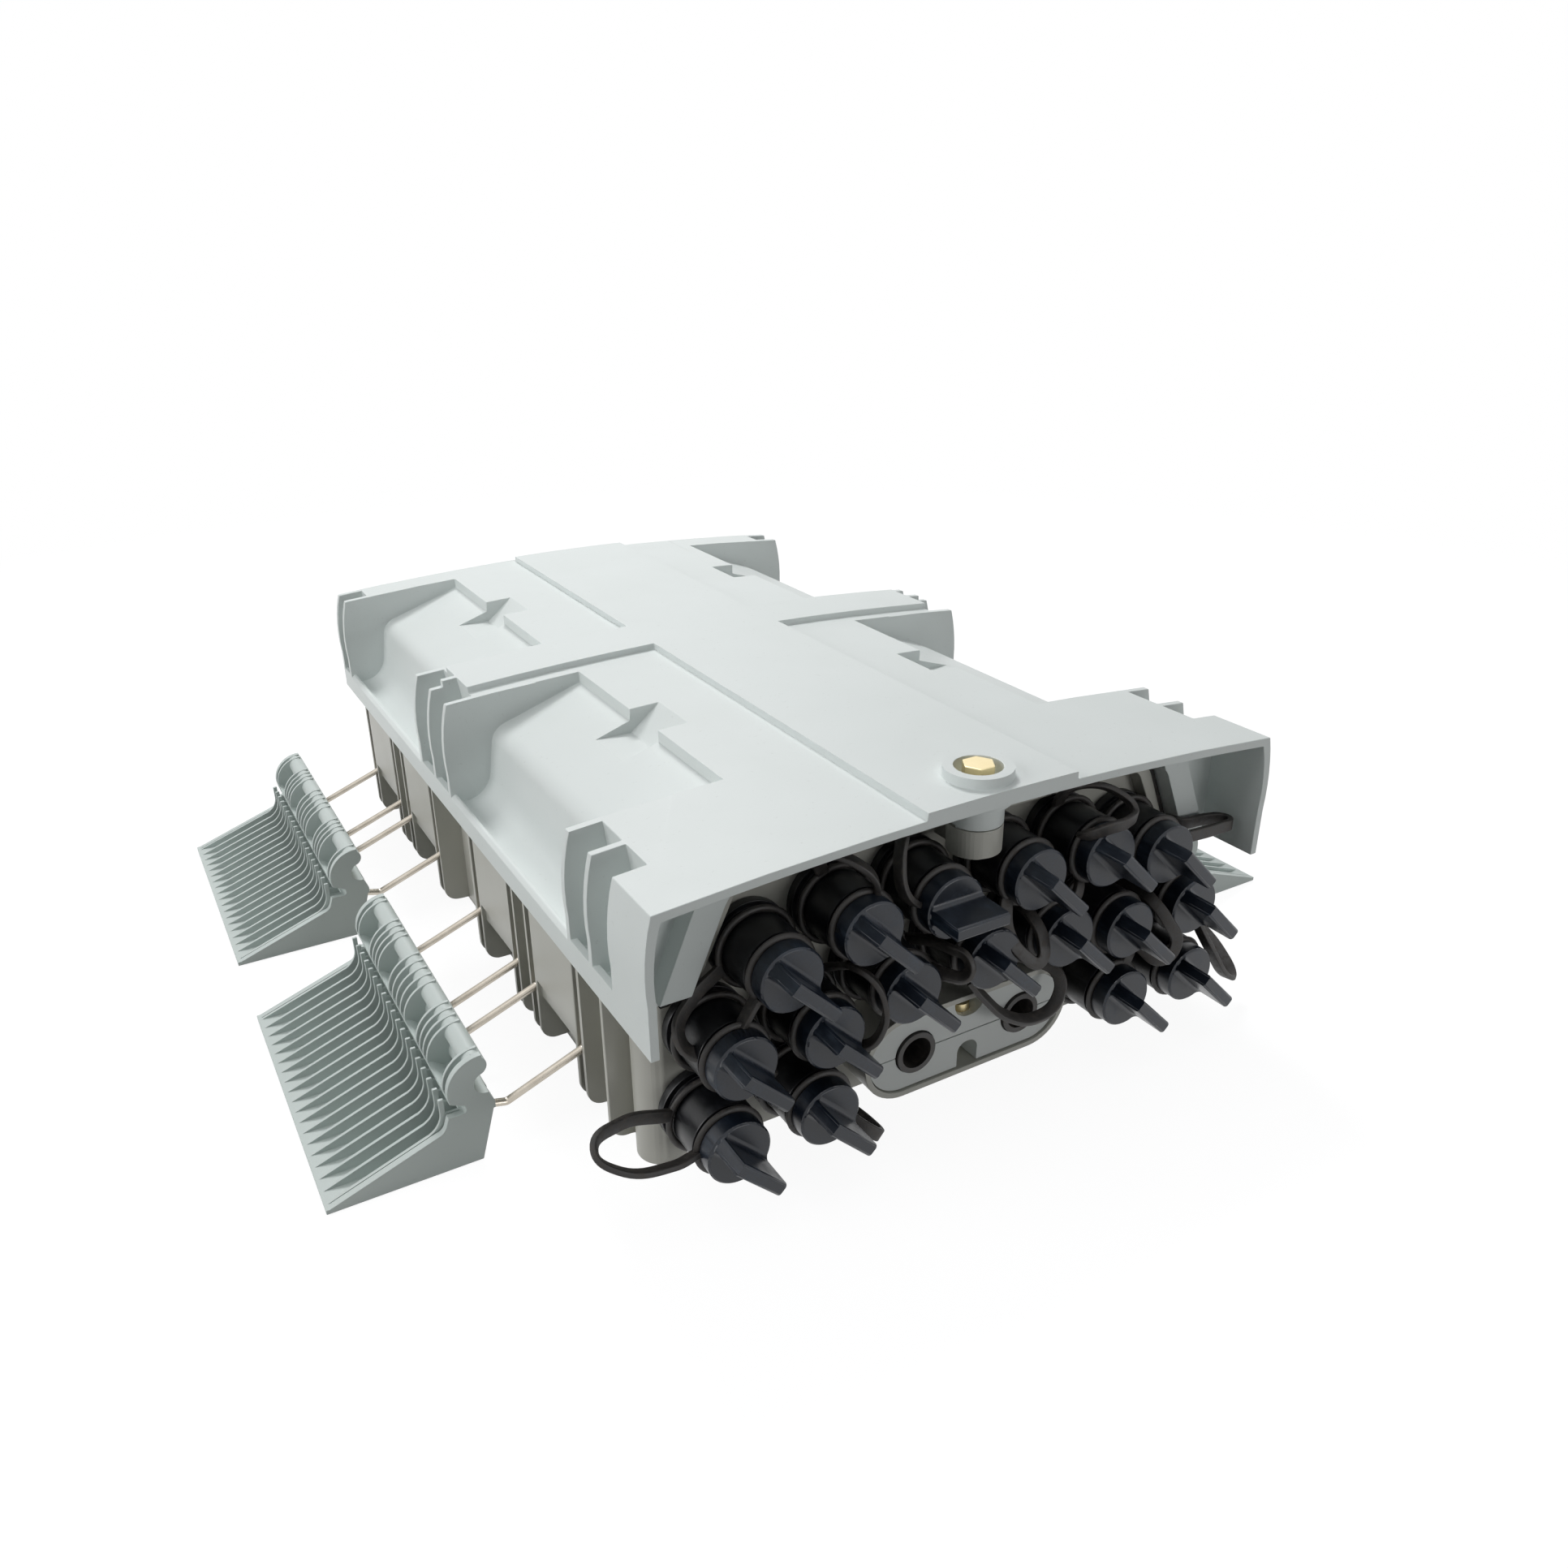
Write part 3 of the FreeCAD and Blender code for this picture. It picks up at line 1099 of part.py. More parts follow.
def make_entry():
    """The two halves that close the oval entry, their grommets and the clamp screw."""
    gap = d.spout_wall + d.running_gap
    block = slab("entry_block", stadium("entry_outline", d.spout_half_width - gap, d.spout_radius - gap),
                 -d.spout_front + d.entry_setback, d.entry_depth)
    start = -d.spout_front + d.entry_setback - d.cut_margin
    depth = d.entry_depth + d.cut_margin * 2
    seats = []
    for side in (-1, 1):
        through = drum(f"grommet_seat_{side}", d.grommet_radius - d.grommet_groove + d.seat_gap, depth,
                       d.grommet_place * side, start, d.entry_height, LAID_ALONG_Y)
        front = drum(f"grommet_front_{side}", d.grommet_radius + d.seat_gap,
                     d.entry_depth / 3 + d.cut_margin,
                     d.grommet_place * side, start, d.entry_height, LAID_ALONG_Y)
        back = drum(f"grommet_back_{side}", d.grommet_radius + d.seat_gap,
                    d.entry_depth / 3 + d.cut_margin,
                    d.grommet_place * side, start + d.cut_margin + d.entry_depth * (2 / 3),
                    d.entry_height, LAID_ALONG_Y)
        seats += [through, front, back]
    well_floor = d.entry_height + d.screw_well_floor
    well = slab("screw_well", rectangle(
        "screw_well_profile", -d.screw_well / 2, d.screw_well / 2, well_floor,
        d.entry_height + d.spout_radius, rounds={0: d.screw_well / 2.2, 1: d.screw_well / 2.2}),
        start, d.cut_margin + d.entry_depth * (2 / 3))
    notch_top = d.entry_height - d.key_notch_top
    notch = slab("key_notch", rectangle(
        "key_notch_profile", -d.key_notch / 2, d.key_notch / 2, d.entry_height - d.spout_radius,
        notch_top, rounds={2: d.key_notch / 2.2, 3: d.key_notch / 2.2}),
        start, d.cut_margin + d.entry_depth / 2)
    screw_y = -d.spout_front + d.entry_setback + d.entry_depth / 3
    screw_hole = drum("screw_hole", d.screw_shank + d.running_gap / 2, d.spout_radius * 2,
                      0, screw_y, d.entry_height - d.spout_radius)
    screw_seat = drum("screw_seat", d.screw_head + d.running_gap, d.spout_radius, 0, screw_y, well_floor)
    carved = cut("entry_carved", block, *seats, well, notch, screw_hole, screw_seat)
    for name, foot, top in (
            ("entry_upper_half", d.entry_height + d.seat_gap / 2, d.entry_height + d.spout_radius),
            ("entry_lower_half", d.entry_height - d.spout_radius, d.entry_height - d.seat_gap / 2)):
        keep = slab(f"{name}_keep", rectangle(
            f"{name}_section", -d.spout_half_width, d.spout_half_width, foot, top), start, depth)
        piece(name, shared(name, carved, keep))
    groove = d.grommet_radius - d.grommet_groove
    third = d.entry_depth / 3
    grommet_form = turned("grommet_form", [
        (d.grommet_bore, 0), (d.grommet_radius, 0), (d.grommet_radius, third - d.seat_gap),
        (groove, third - d.seat_gap), (groove, third * 2 + d.seat_gap),
        (d.grommet_radius, third * 2 + d.seat_gap), (d.grommet_radius, d.entry_depth + 1),
        (d.grommet_bore, d.entry_depth + 1)])
    grommets = []
    for side in (-1, 1):
        grommet = group(f"grommet_{side}", grommet_form)
        grommets.append(place(grommet, d.grommet_place * side,
                              -d.spout_front + d.entry_setback + d.entry_depth, d.entry_height, facing(0)))
    piece("cable_grommets", group("cable_grommets", *grommets))
    screw = turned("entry_screw", [
        (0, -d.screw_length), (d.screw_shank, -d.screw_length), (d.screw_shank, 0),
        (d.screw_head, 0), (d.screw_head, d.screw_head_height), (0, d.screw_head_height)])
    place(piece("entry_screw", screw), 0, screw_y, well_floor + d.seat_gap / 3, Rotation(X_AXIS, 90))


def make_bolt():
    head = hexagon("bolt_head", d.bolt_flats, d.bolt_head_height, 0, -d.bolt_place, d.bolt_seat)
    shank = drum("bolt_shank_solid", d.bolt_shank, d.bolt_seat - d.bolt_tip + 1,
                 0, -d.bolt_place, d.bolt_tip)
    piece("cover_bolt", joined("cover_bolt", head, shank))
    sleeve = drum("insert_sleeve", d.insert_radius, d.post_top - d.post_foot, 0, -d.bolt_place, d.post_foot)
    way = drum("insert_way", d.insert_bore, d.post_top - d.post_foot + d.cut_margin,
               0, -d.bolt_place, d.post_foot - d.cut_margin / 2)
    piece("bolt_insert", cut("bolt_insert", sleeve, way))


def make_inside():
    """Splice tray with two winding hubs, its lid and the feeder clamp."""
    corners = {i: d.tray_corner for i in range(4)}
    tray_outline = rectangle("tray_outline", -d.tray_half_width, d.tray_half_width,
                             d.tray_centre - d.tray_half_length, d.tray_centre + d.tray_half_length,
                             LYING, corners)
    outer = slab("tray_solid", tray_outline, d.tray_lift, d.tray_height, Z_AXIS)
    hollow = slab("tray_hollow", widened("tray_inside", tray_outline, -d.tray_wall),
                  d.tray_lift + d.tray_wall, d.tray_height, Z_AXIS)
    hubs = []
    for i, side in enumerate((-1, 1)):
        y = d.tray_centre + d.tray_hub_place * side
        hub = drum(f"tray_hub_{i}", d.tray_hub_radius, d.tray_height - d.tray_wall / 2, 0, y,
                   d.tray_lift + d.tray_wall / 2)
        core = drum(f"tray_hub_core_{i}", d.tray_hub_radius - d.tray_wall, d.tray_height, 0, y,
                    d.tray_lift + d.tray_wall)
        hubs.append(cut(f"tray_hub_wall_{i}", hub, core))
    piece("splice_tray", joined("splice_tray", cut("tray_shell", outer, hollow), *hubs))
    lid = slab("tray_lid", tray_outline, d.tray_lift + d.tray_height, d.lid_thickness, Z_AXIS)
    piece("tray_lid", lid)
    bar = slab("clamp_bar", rectangle("clamp_section", -d.clamp_half_width, d.clamp_half_width,
                                      d.wall, d.clamp_height), -d.clamp_place, d.clamp_depth)
    ways = [drum(f"clamp_way_{side}", d.grommet_bore + d.running_gap, d.clamp_depth + d.cut_margin,
                 d.grommet_place * side, -d.clamp_place - d.cut_margin / 2, d.entry_height, LAID_ALONG_Y)
            for side in (-1, 1)]
    piece("feeder_clamp", cut("feeder_clamp", bar, *ways))


def main():
    base, collar_outline = make_base()
    piece("base", base)
    make_cover(collar_outline)
    make_seal(collar_outline)
    make_latches()
    make_ports()
    make_entry()
    make_bolt()
    make_inside()
    doc.recompute()
    for thing in doc.Objects:
        if "Invalid" in thing.State or "Error" in thing.State:
            raise RuntimeError(f"{thing.Label} did not build")
    os.makedirs("parts", exist_ok=True)
    for node in nodes:
        if node.Shape.isNull() or not node.Shape.isValid():
            raise RuntimeError(f"{node.Label} is not a valid shape")
        node.Shape.exportStep(f"parts/{node.Label}.step")


main()
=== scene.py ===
# %% [markdown]
# # Dressing a fibre splice box
# The box comes from a CAD model as a frame of rigid nodes, each in its true place and in metres.
# This lesson leaves that frame as it is and gives it its looks: moulded pieces with softened
# edges, rubber straps, finishes with some grain and wear, and a small white studio.

# %% Load the frame
import json
import math

import bmesh
import bpy
from mathutils import Matrix, Vector

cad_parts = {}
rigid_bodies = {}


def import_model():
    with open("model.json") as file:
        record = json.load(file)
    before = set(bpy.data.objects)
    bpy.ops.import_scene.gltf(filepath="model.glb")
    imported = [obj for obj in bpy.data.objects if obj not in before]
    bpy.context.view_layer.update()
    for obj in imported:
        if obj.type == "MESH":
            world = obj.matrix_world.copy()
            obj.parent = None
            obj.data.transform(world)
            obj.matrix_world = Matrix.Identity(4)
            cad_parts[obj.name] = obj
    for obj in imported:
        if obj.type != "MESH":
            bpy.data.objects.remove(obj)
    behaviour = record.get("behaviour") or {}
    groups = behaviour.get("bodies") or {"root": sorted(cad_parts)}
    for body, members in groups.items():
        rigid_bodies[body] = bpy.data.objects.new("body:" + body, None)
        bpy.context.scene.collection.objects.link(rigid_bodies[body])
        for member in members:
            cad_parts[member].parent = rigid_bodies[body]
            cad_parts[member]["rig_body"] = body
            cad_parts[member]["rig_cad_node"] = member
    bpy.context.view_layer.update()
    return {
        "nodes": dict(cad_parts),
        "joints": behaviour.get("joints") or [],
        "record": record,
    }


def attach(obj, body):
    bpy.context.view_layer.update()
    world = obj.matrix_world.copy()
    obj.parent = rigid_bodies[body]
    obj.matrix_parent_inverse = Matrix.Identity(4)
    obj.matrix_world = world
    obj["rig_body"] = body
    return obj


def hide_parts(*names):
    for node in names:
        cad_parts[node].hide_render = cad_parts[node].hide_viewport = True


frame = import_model()
nodes = frame["nodes"]

# %% [markdown]
# ## The camera
# The picture was taken from the front left and from above, with a slightly wide lens. The camera
# is set by its place, by the way it looks and by a small roll, and its matrix is built from the
# three directions of its picture. That says plainly where right and up are, which three Euler
# angles would not.

# %% Set the camera
MM = 0.001
CAMERA_PLACE = Vector((-244.2, -480.6, 291.9)) * MM
CAMERA_AZIMUTH = math.radians(-30.29)
CAMERA_ELEVATION = math.radians(24.40)
CAMERA_ROLL = math.radians(-0.41)
CAMERA_LENS = 28.81
CAMERA_SENSOR = 36.0
CAMERA_NEAREST = 10 * MM

back = Vector((math.sin(CAMERA_AZIMUTH) * math.cos(CAMERA_ELEVATION),
               -math.cos(CAMERA_AZIMUTH) * math.cos(CAMERA_ELEVATION),
               math.sin(CAMERA_ELEVATION)))
level_right = Vector((0, 0, 1)).cross(back).normalized()
level_up = back.cross(level_right)
right = math.cos(CAMERA_ROLL) * level_right + math.sin(CAMERA_ROLL) * level_up
up = back.cross(right)
bpy.ops.object.camera_add()
camera = bpy.context.object
camera.data.lens = CAMERA_LENS
camera.data.sensor_width = CAMERA_SENSOR
camera.data.clip_start = CAMERA_NEAREST
camera.matrix_world = Matrix((right, up, back)).transposed().to_4x4()
camera.location = CAMERA_PLACE
bpy.context.scene.camera = camera
print("camera at", [round(v, 3) for v in camera.location], "lens", camera.data.lens)

# %% [markdown]
# ## Shading as expressions
# A finish is a node tree, and a tree built link by link is hard to read. A `Field` wraps one output
# socket and takes part in sums, so shading can be written as arithmetic. A `Shading` fills any tree,
# and its `node` method adds a node of any type. It serves the materials and the world alike.

# %% Shader arithmetic
class Field:
    """An output socket that can be added, multiplied and compared."""

    def __init__(self, shading, socket):
        self.shading = shading
        self.socket = socket

    def math(self, operation, first, second):
        return self.shading.node("ShaderNodeMath", {"operation": operation}, {0: first, 1: second})

    def __add__(self, other):
        return self.math("ADD", self, other)

    def __radd__(self, other):
        return self.math("ADD", other, self)

    def __mul__(self, other):
        return self.math("MULTIPLY", self, other)

    def __rmul__(self, other):
        return self.math("MULTIPLY", other, self)

    def highest(self, other):
        return self.math("MAXIMUM", self, other)


class Shading:
    """A node tree that is filled by expressions."""

    def __init__(self, tree):
        self.tree = tree

    def node(self, kind, settings=None, sockets=None, output=0):
        """Add a node, set it up, feed its sockets and return one of its outputs."""
        made = self.tree.nodes.new(kind)
        for setting, value in (settings or {}).items():
            if setting == "stops":
                made.color_ramp.elements[0].position = value[0]
                made.color_ramp.elements[1].position = value[1]
            else:
                setattr(made, setting, value)
        for socket, value in (sockets or {}).items():
            self.feed(made.inputs[socket], value)
        return Field(self, made.outputs[output])

    def feed(self, socket, value):
        """Link a field to a socket, or set a plain value on it."""
        if isinstance(value, Field):
            self.tree.links.new(value.socket, socket)
        else:
            socket.default_value = value

    def shows_background(self):
        """1 for the rays that show the background: straight, mirrored or through glass."""
        straight, mirrored, through = [self.node("ShaderNodeLightPath", output=f"Is {way} Ray")
                                       for way in ("Camera", "Glossy", "Transmission")]
        return straight.highest(mirrored).highest(through)


print("operators", [name for name in vars(Field) if name.endswith(("add__", "mul__"))])

# %% [markdown]
# ## A finish
# A finish is a material: shading around Blender's main surface shader. Four kinds of node do nearly
# all of the work on this box, so each gets a short method: cloudy noise, a ramp that turns noise into
# patches, a mix of two colours, and bump. Colours are written as they are picked on a screen, which
# is easier to compare with a picture than the linear values that a shader takes.

# %% Finishes
# A Mix node's sockets for colours go by number, because its other types share their names.
MIX_FACTOR, MIX_FIRST, MIX_SECOND = 0, 6, 7
MIX_COLOUR = 2


class Finish(Shading):
    """A material made of nodes around one shader."""

    def __init__(self, name):
        self.material = bpy.data.materials.new(name)
        self.material.use_nodes = True
        super().__init__(self.material.node_tree)
        self.shader = self.tree.nodes["Principled BSDF"]
        self.place = self.node("ShaderNodeTexCoord", output="Object")

    def noise(self, size, detail=3.0, roughness=0.55):
        """Cloudy variation from 0 to 1, with patches of about a size in metres."""
        return self.node("ShaderNodeTexNoise", None, {
            "Vector": self.place, "Scale": 1 / size, "Detail": detail, "Roughness": roughness})

    def ramp(self, value, low, high):
        """0 below low, 1 above high."""
        return self.node("ShaderNodeValToRGB", {"stops": (low, high)}, {0: value})

    def mix(self, factor, first, second):
        return self.node("ShaderNodeMix", {"data_type": "RGBA"}, {
            MIX_FACTOR: factor, MIX_FIRST: first, MIX_SECOND: second}, MIX_COLOUR)

    def bump(self, height, depth):
        return self.node("ShaderNodeBump", None, {"Height": height, "Distance": depth})

    def shade(self, **sockets):
        """Feed the shader's sockets, named with underscores, and return the material."""
        for name, value in sockets.items():
            self.feed(self.shader.inputs[name.replace("_", " ")], value)
        return self.material


def tint(red, green, blue):
    """A colour as it is picked on a screen, made linear for the shader."""
    linear = [(c / 255 / 12.92 if c <= 10 else ((c / 255 + 0.055) / 1.055) ** 2.4)
              for c in (red, green, blue)]
    return (*linear, 1.0)


print("tint of mid grey", [round(c, 3) for c in tint(128, 128, 128)])

# %% [markdown]
# ## Moulded grey plastic
# The tub, the cover, the latches, the cable entry and the splice tray are moulded from pale grey
# plastics of slightly different tones. The mould leaves a very fine grain, the wall thickness leaves
# faint clouds in the colour, handling leaves some patches glossier than others, and dust leaves a few
# specks. All of them come from noise at different sizes: clouds of centimetres for colour and gloss,
# specks of a millimetre or two, and a grain of tenths of a millimetre as bump.

# %% Grey finishes
GRAIN = 0.35 * MM
COARSE_GRAIN = 4 * GRAIN
CLOUD = 45 * MM
SPECK = 1.6 * MM
SPECK_STOPS = (0.66, 0.74)
SPECK_STRENGTH = 0.16
SPECK_COLOUR = tint(150, 148, 140)
CLOUD_DULLING = 0.14
GRAIN_DULLING = 0.05
MATT_DEPTH = 0.02 * MM
SATIN_DEPTH = 0.012 * MM


def moulded_grey(name, pale, deep, rough, grain_depth=MATT_DEPTH):
    finish = Finish(name)
    clouds = finish.noise(CLOUD, detail=2.0)
    specks = finish.ramp(finish.noise(SPECK, roughness=0.6), *SPECK_STOPS)
    clouded = finish.mix(clouds, pale, deep)
    return finish.shade(
        Base_Color=finish.mix(SPECK_STRENGTH * specks, clouded, SPECK_COLOUR),
        Roughness=rough + CLOUD_DULLING * clouds + GRAIN_DULLING * finish.noise(COARSE_GRAIN),
        Normal=finish.bump(finish.noise(GRAIN), grain_depth))


cover_grey = moulded_grey("cover grey", tint(226, 232, 231), tint(219, 225, 223), 0.36)
base_grey = moulded_grey("base grey", tint(194, 193, 185), tint(186, 186, 178), 0.30, SATIN_DEPTH)
latch_grey = moulded_grey("latch grey", tint(202, 211, 208), tint(194, 203, 200), 0.36)
entry_grey = moulded_grey("entry grey", tint(222, 226, 224), tint(214, 218, 216), 0.42)
tray_grey = moulded_grey("tray grey", tint(214, 214, 208), tint(204, 204, 198), 0.38)
print("grey finishes", [m.name for m in (cover_grey, base_grey, latch_grey, entry_grey, tray_grey)])

# %% [markdown]
# ## Black plastic
# Adapters and caps are black glass-filled plastic: satin, with fine scuffs from handling. The scuffs
# are noise stretched along one direction, because a scuff is longer than it is wide, and broader
# patches decide where they show. The caps are a slightly bluer and paler black than the adapters.

# %% Black finishes
SCUFF_STRETCH = (14.0, 2.2, 14.0)
SCUFF_SCALE = 60.0
SCUFF_STOPS = (0.24, 0.42)
SCUFF_STRENGTH = 0.6
SCUFF_DULLING = 0.16
SCUFF_PATCH = 9 * MM
PATCH_DULLING = 0.10
BLACK_DEPTH = 0.012 * MM


def scuffed_black(name, dark, scuffed, rough):
    finish = Finish(name)
    stretched = finish.node("ShaderNodeMapping", None, {"Vector": finish.place, "Scale": SCUFF_STRETCH})
    strokes = finish.node("ShaderNodeTexNoise", None, {
        "Vector": stretched, "Scale": SCUFF_SCALE, "Detail": 5.0, "Roughness": 0.7})
    patches = finish.noise(SCUFF_PATCH)
    scuffs = finish.ramp(strokes * patches, *SCUFF_STOPS)
    return finish.shade(
        Base_Color=finish.mix(SCUFF_STRENGTH * scuffs, dark, scuffed),
        Roughness=rough + SCUFF_DULLING * scuffs + PATCH_DULLING * patches,
        Normal=finish.bump(finish.noise(GRAIN), BLACK_DEPTH))


black_plastic = scuffed_black("black plastic", tint(11, 12, 16), tint(34, 36, 41), 0.29)
cap_black = scuffed_black("cap black", tint(21, 28, 39), tint(45, 56, 69), 0.26)
print("black finishes", black_plastic.name, cap_black.name)

# %% [markdown]
# ## Rubber
# Straps, grommets and seal are rubber, duller than the plastic and a little brown where dust sits.
# Dust also takes the last of the gloss away, so one noise drives both the colour and the roughness.

# %% Rubber finish
DUST = 2.4 * MM
DUST_STOPS = (0.46, 0.72)
DUST_STRENGTH = 0.55
DUST_DULLING = 0.25
RUBBER_BLACK = tint(35, 33, 32)
RUBBER_DUSTY = tint(82, 76, 70)
RUBBER_ROUGH = 0.50
RUBBER_GRAIN = 0.8 * MM
RUBBER_DEPTH = 0.05 * MM


def rubber_finish():
    finish = Finish("rubber")
    dust = finish.ramp(finish.noise(DUST, detail=5.0, roughness=0.7), *DUST_STOPS)
    return finish.shade(
        Base_Color=finish.mix(DUST_STRENGTH * dust, RUBBER_BLACK, RUBBER_DUSTY),
        Roughness=RUBBER_ROUGH + DUST_DULLING * dust,
        Normal=finish.bump(finish.noise(RUBBER_GRAIN, detail=4.0), RUBBER_DEPTH))


rubber = rubber_finish()
print("rubber finish", rubber.name)

# %% [markdown]
# ## Metal and clear plastic
# The bails are nickel-plated spring wire, the bolt and the clamp screw are brass-coloured, and the
# lid of the splice tray is clear. Metal is mostly what it reflects, so its finish only varies the
# gloss and slightly the colour.

# %% Metal and clear finishes
STAIN = 7 * MM
STAIN_DULLING = 0.16
METAL_GRAIN = 0.6 * MM
METAL_DEPTH = 0.01 * MM
HAZE = 12 * MM
HAZE_DULLING = 0.08
LID_ROUGH = 0.05
LID_REFRACTION = 1.49


def metal_finish(name, clean, dull, rough):
    finish = Finish(name)
    stain = finish.noise(STAIN, detail=4.0, roughness=0.6)
    return finish.shade(
        Base_Color=finish.mix(stain, clean, dull),
        Metallic=1.0,
        Roughness=rough + STAIN_DULLING * stain,
        Normal=finish.bump(finish.noise(METAL_GRAIN), METAL_DEPTH))


def clear_finish():
    finish = Finish("clear lid")
    haze = finish.noise(HAZE)
    return finish.shade(
        Base_Color=finish.mix(haze, tint(246, 249, 250), tint(232, 238, 240)),
        Roughness=LID_ROUGH + HAZE_DULLING * haze,
        Transmission_Weight=1.0,
        IOR=LID_REFRACTION)


wire_nickel = metal_finish("wire nickel", tint(204, 198, 187), tint(170, 161, 147), 0.18)
bolt_brass = metal_finish("bolt brass", tint(234, 220, 180), tint(210, 194, 150), 0.28)
lid_clear = clear_finish()
print("metal and clear finishes", wire_nickel.name, bolt_brass.name, lid_clear.name)

# %% [markdown]
# ## Softened copies of the moulded pieces
# A mould has no perfectly sharp edge, and a softened edge is what catches the light. The CAD nodes
# stay as they are, so each moulded piece is copied, its loose triangles are merged and dissolved
# into flat faces, and a bevel rounds the edges that turn sharply. A bevel folds over itself where an
# edge is too short or a corner too keen, so only edges with room at both ends get a bevel weight.

# %% Edges with room for a bevel
SHARP_ANGLE = math.radians(32)
KEEN_ANGLE = math.radians(24)
ROOM_IN_WIDTHS = 2


def weigh_edges(mesh, width):
    """Weigh the edges that turn sharply and have room for a bevel at both ends."""
    shape = bmesh.new()
    shape.from_mesh(mesh)
    roomy = {corner: min(edge.calc_length() for edge in corner.link_edges) > ROOM_IN_WIDTHS * width
             and min(loop.calc_angle() for loop in corner.link_loops) > KEEN_ANGLE
             for corner in shape.verts}
    weight = shape.edges.layers.float.new("bevel_weight_edge")
    for edge in shape.edges:
        sharp = len(edge.link_faces) == 2 and edge.calc_face_angle(0) > SHARP_ANGLE
        edge[weight] = float(sharp and all(roomy[corner] for corner in edge.verts))
    shape.to_mesh(mesh)
    shape.free()


print("bevels from", round(math.degrees(SHARP_ANGLE)), "degrees on")

# %% [markdown]
# Weighted normals keep the large faces flat beside the rounding. The finished copy stands for its
# node and rides on the same body.

# %% Softened copy of a node
MERGE = 0.002 * MM
FLAT_ANGLE = math.radians(0.8)
BODY_OF = {node: body for body, members in frame["record"]["behaviour"]["bodies"].items()
           for node in members}


def choose(thing):
    """Make one object the only selected and active one."""
    bpy.ops.object.select_all(action="DESELECT")
    thing.select_set(True)
    bpy.context.view_layer.objects.active = thing


def apply_modifiers(thing):
    choose(thing)
    for modifier in list(thing.modifiers):
        bpy.ops.object.modifier_apply(modifier=modifier.name)


def hand_over(piece, finish, node):
    """Give a finished piece its finish and its body, and hide the node that it stands for."""
    piece.data.materials.clear()
    piece.data.materials.append(finish)
    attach(piece, BODY_OF[node])
    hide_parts(node)
    return piece


def softened(node, finish, width, segments=2):
    copy = nodes[node].copy()
    copy.data = nodes[node].data.copy()
    copy.name = f"{node}_dressed"
    copy.parent = None
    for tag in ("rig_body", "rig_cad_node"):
        del copy[tag]
    bpy.context.scene.collection.objects.link(copy)
    choose(copy)
    bpy.ops.object.mode_set(mode="EDIT")
    bpy.ops.mesh.select_all(action="SELECT")
    bpy.ops.mesh.remove_doubles(threshold=MERGE)
    bpy.ops.mesh.dissolve_limited(angle_limit=FLAT_ANGLE)
    bpy.ops.object.mode_set(mode="OBJECT")
    weigh_edges(copy.data, width)
    bevel = copy.modifiers.new("soft edges", "BEVEL")
    bevel.width = width
    bevel.segments = segments
    bevel.limit_method = "WEIGHT"
    bevel.use_clamp_overlap = False
    bevel.miter_outer = "MITER_ARC"
    apply_modifiers(copy)
    bpy.ops.object.shade_smooth_by_angle(angle=SHARP_ANGLE)
    weighted = copy.modifiers.new("flat faces stay flat", "WEIGHTED_NORMAL")
    weighted.keep_sharp = True
    apply_modifiers(copy)
    return hand_over(copy, finish, node)


print("bodies to ride on", len(set(BODY_OF.values())))

# %% [markdown]
# Each piece has its own edge: the caps and adapters are thick and well rounded, the latches thin and
# crisp. Pieces with a family name are found in the frame, so none is left out.

# %% Dress the moulded pieces
def named(*words):
    """The frame's nodes whose names start or end with one of these words."""
    return sorted(n for n in nodes if n.startswith(words) or n.endswith(words))


dressed = [softened("cover", cover_grey, width=0.35 * MM),
           softened("base", base_grey, width=0.4 * MM)]
for node in named("_latch"):
    dressed.append(softened(node, latch_grey, width=0.22 * MM))
for node in named("entry_upper_half", "entry_lower_half"):
    dressed.append(softened(node, entry_grey, width=0.3 * MM))
for node in named("cap_"):
    dressed.append(softened(node, cap_black, width=0.5 * MM, segments=3))
dressed.append(softened("port_adapters", black_plastic, width=0.5 * MM))
dressed.append(softened("cable_grommets", rubber, width=0.6 * MM, segments=3))
dressed.append(softened("cover_bolt", bolt_brass, width=0.3 * MM))
print("softened", len(dressed), "pieces,", sum(len(d.data.polygons) for d in dressed), "faces")

# %% [markdown]
# ## Rubber straps
# Each cap is tied by a moulded strap: a ring round the adapter, a ring round the cap's neck and a
# flat belt that loops from one to the other. The caps turn about their ports' axes, so the ports'
# places are read from the caps' joints. Lengths in the cells on straps are in millimetres.

# %% Ports and rings
PORTS = {joint["child"].removeprefix("cap_"): (joint["pos_m"][0] / MM, joint["pos_m"][2] / MM)
         for joint in frame["joints"] if joint["child"].startswith("cap_")}
PANEL = -173.0
FOOT_AHEAD = 7.6
NECK_AHEAD = 23.2
# Each ring has its place along Y, its outer and its inner radius.
FOOT_RING = (PANEL - FOOT_AHEAD, 14.8, 12.5)
NECK_RING = (PANEL - NECK_AHEAD, 12.8, 9.5)
RING_HALF = 1.0
RING_SEGMENTS = 44
RING_SECTION_SEGMENTS = 12


def strap_ring(port, along, outer, inner):
    thick = (outer - inner) / 2
    bpy.ops.object.select_all(action="DESELECT")
    bpy.ops.mesh.primitive_torus_add(
        location=(port[0] * MM, along * MM, port[1] * MM), rotation=(math.pi / 2, 0, 0),
        major_segments=RING_SEGMENTS, minor_segments=RING_SECTION_SEGMENTS,
        major_radius=(outer - thick) * MM, minor_radius=thick * MM)
    ring = bpy.context.object
    ring.scale.z = RING_HALF / thick
    return ring


print("ports", {name: [round(v, 1) for v in place] for name, place in PORTS.items()})

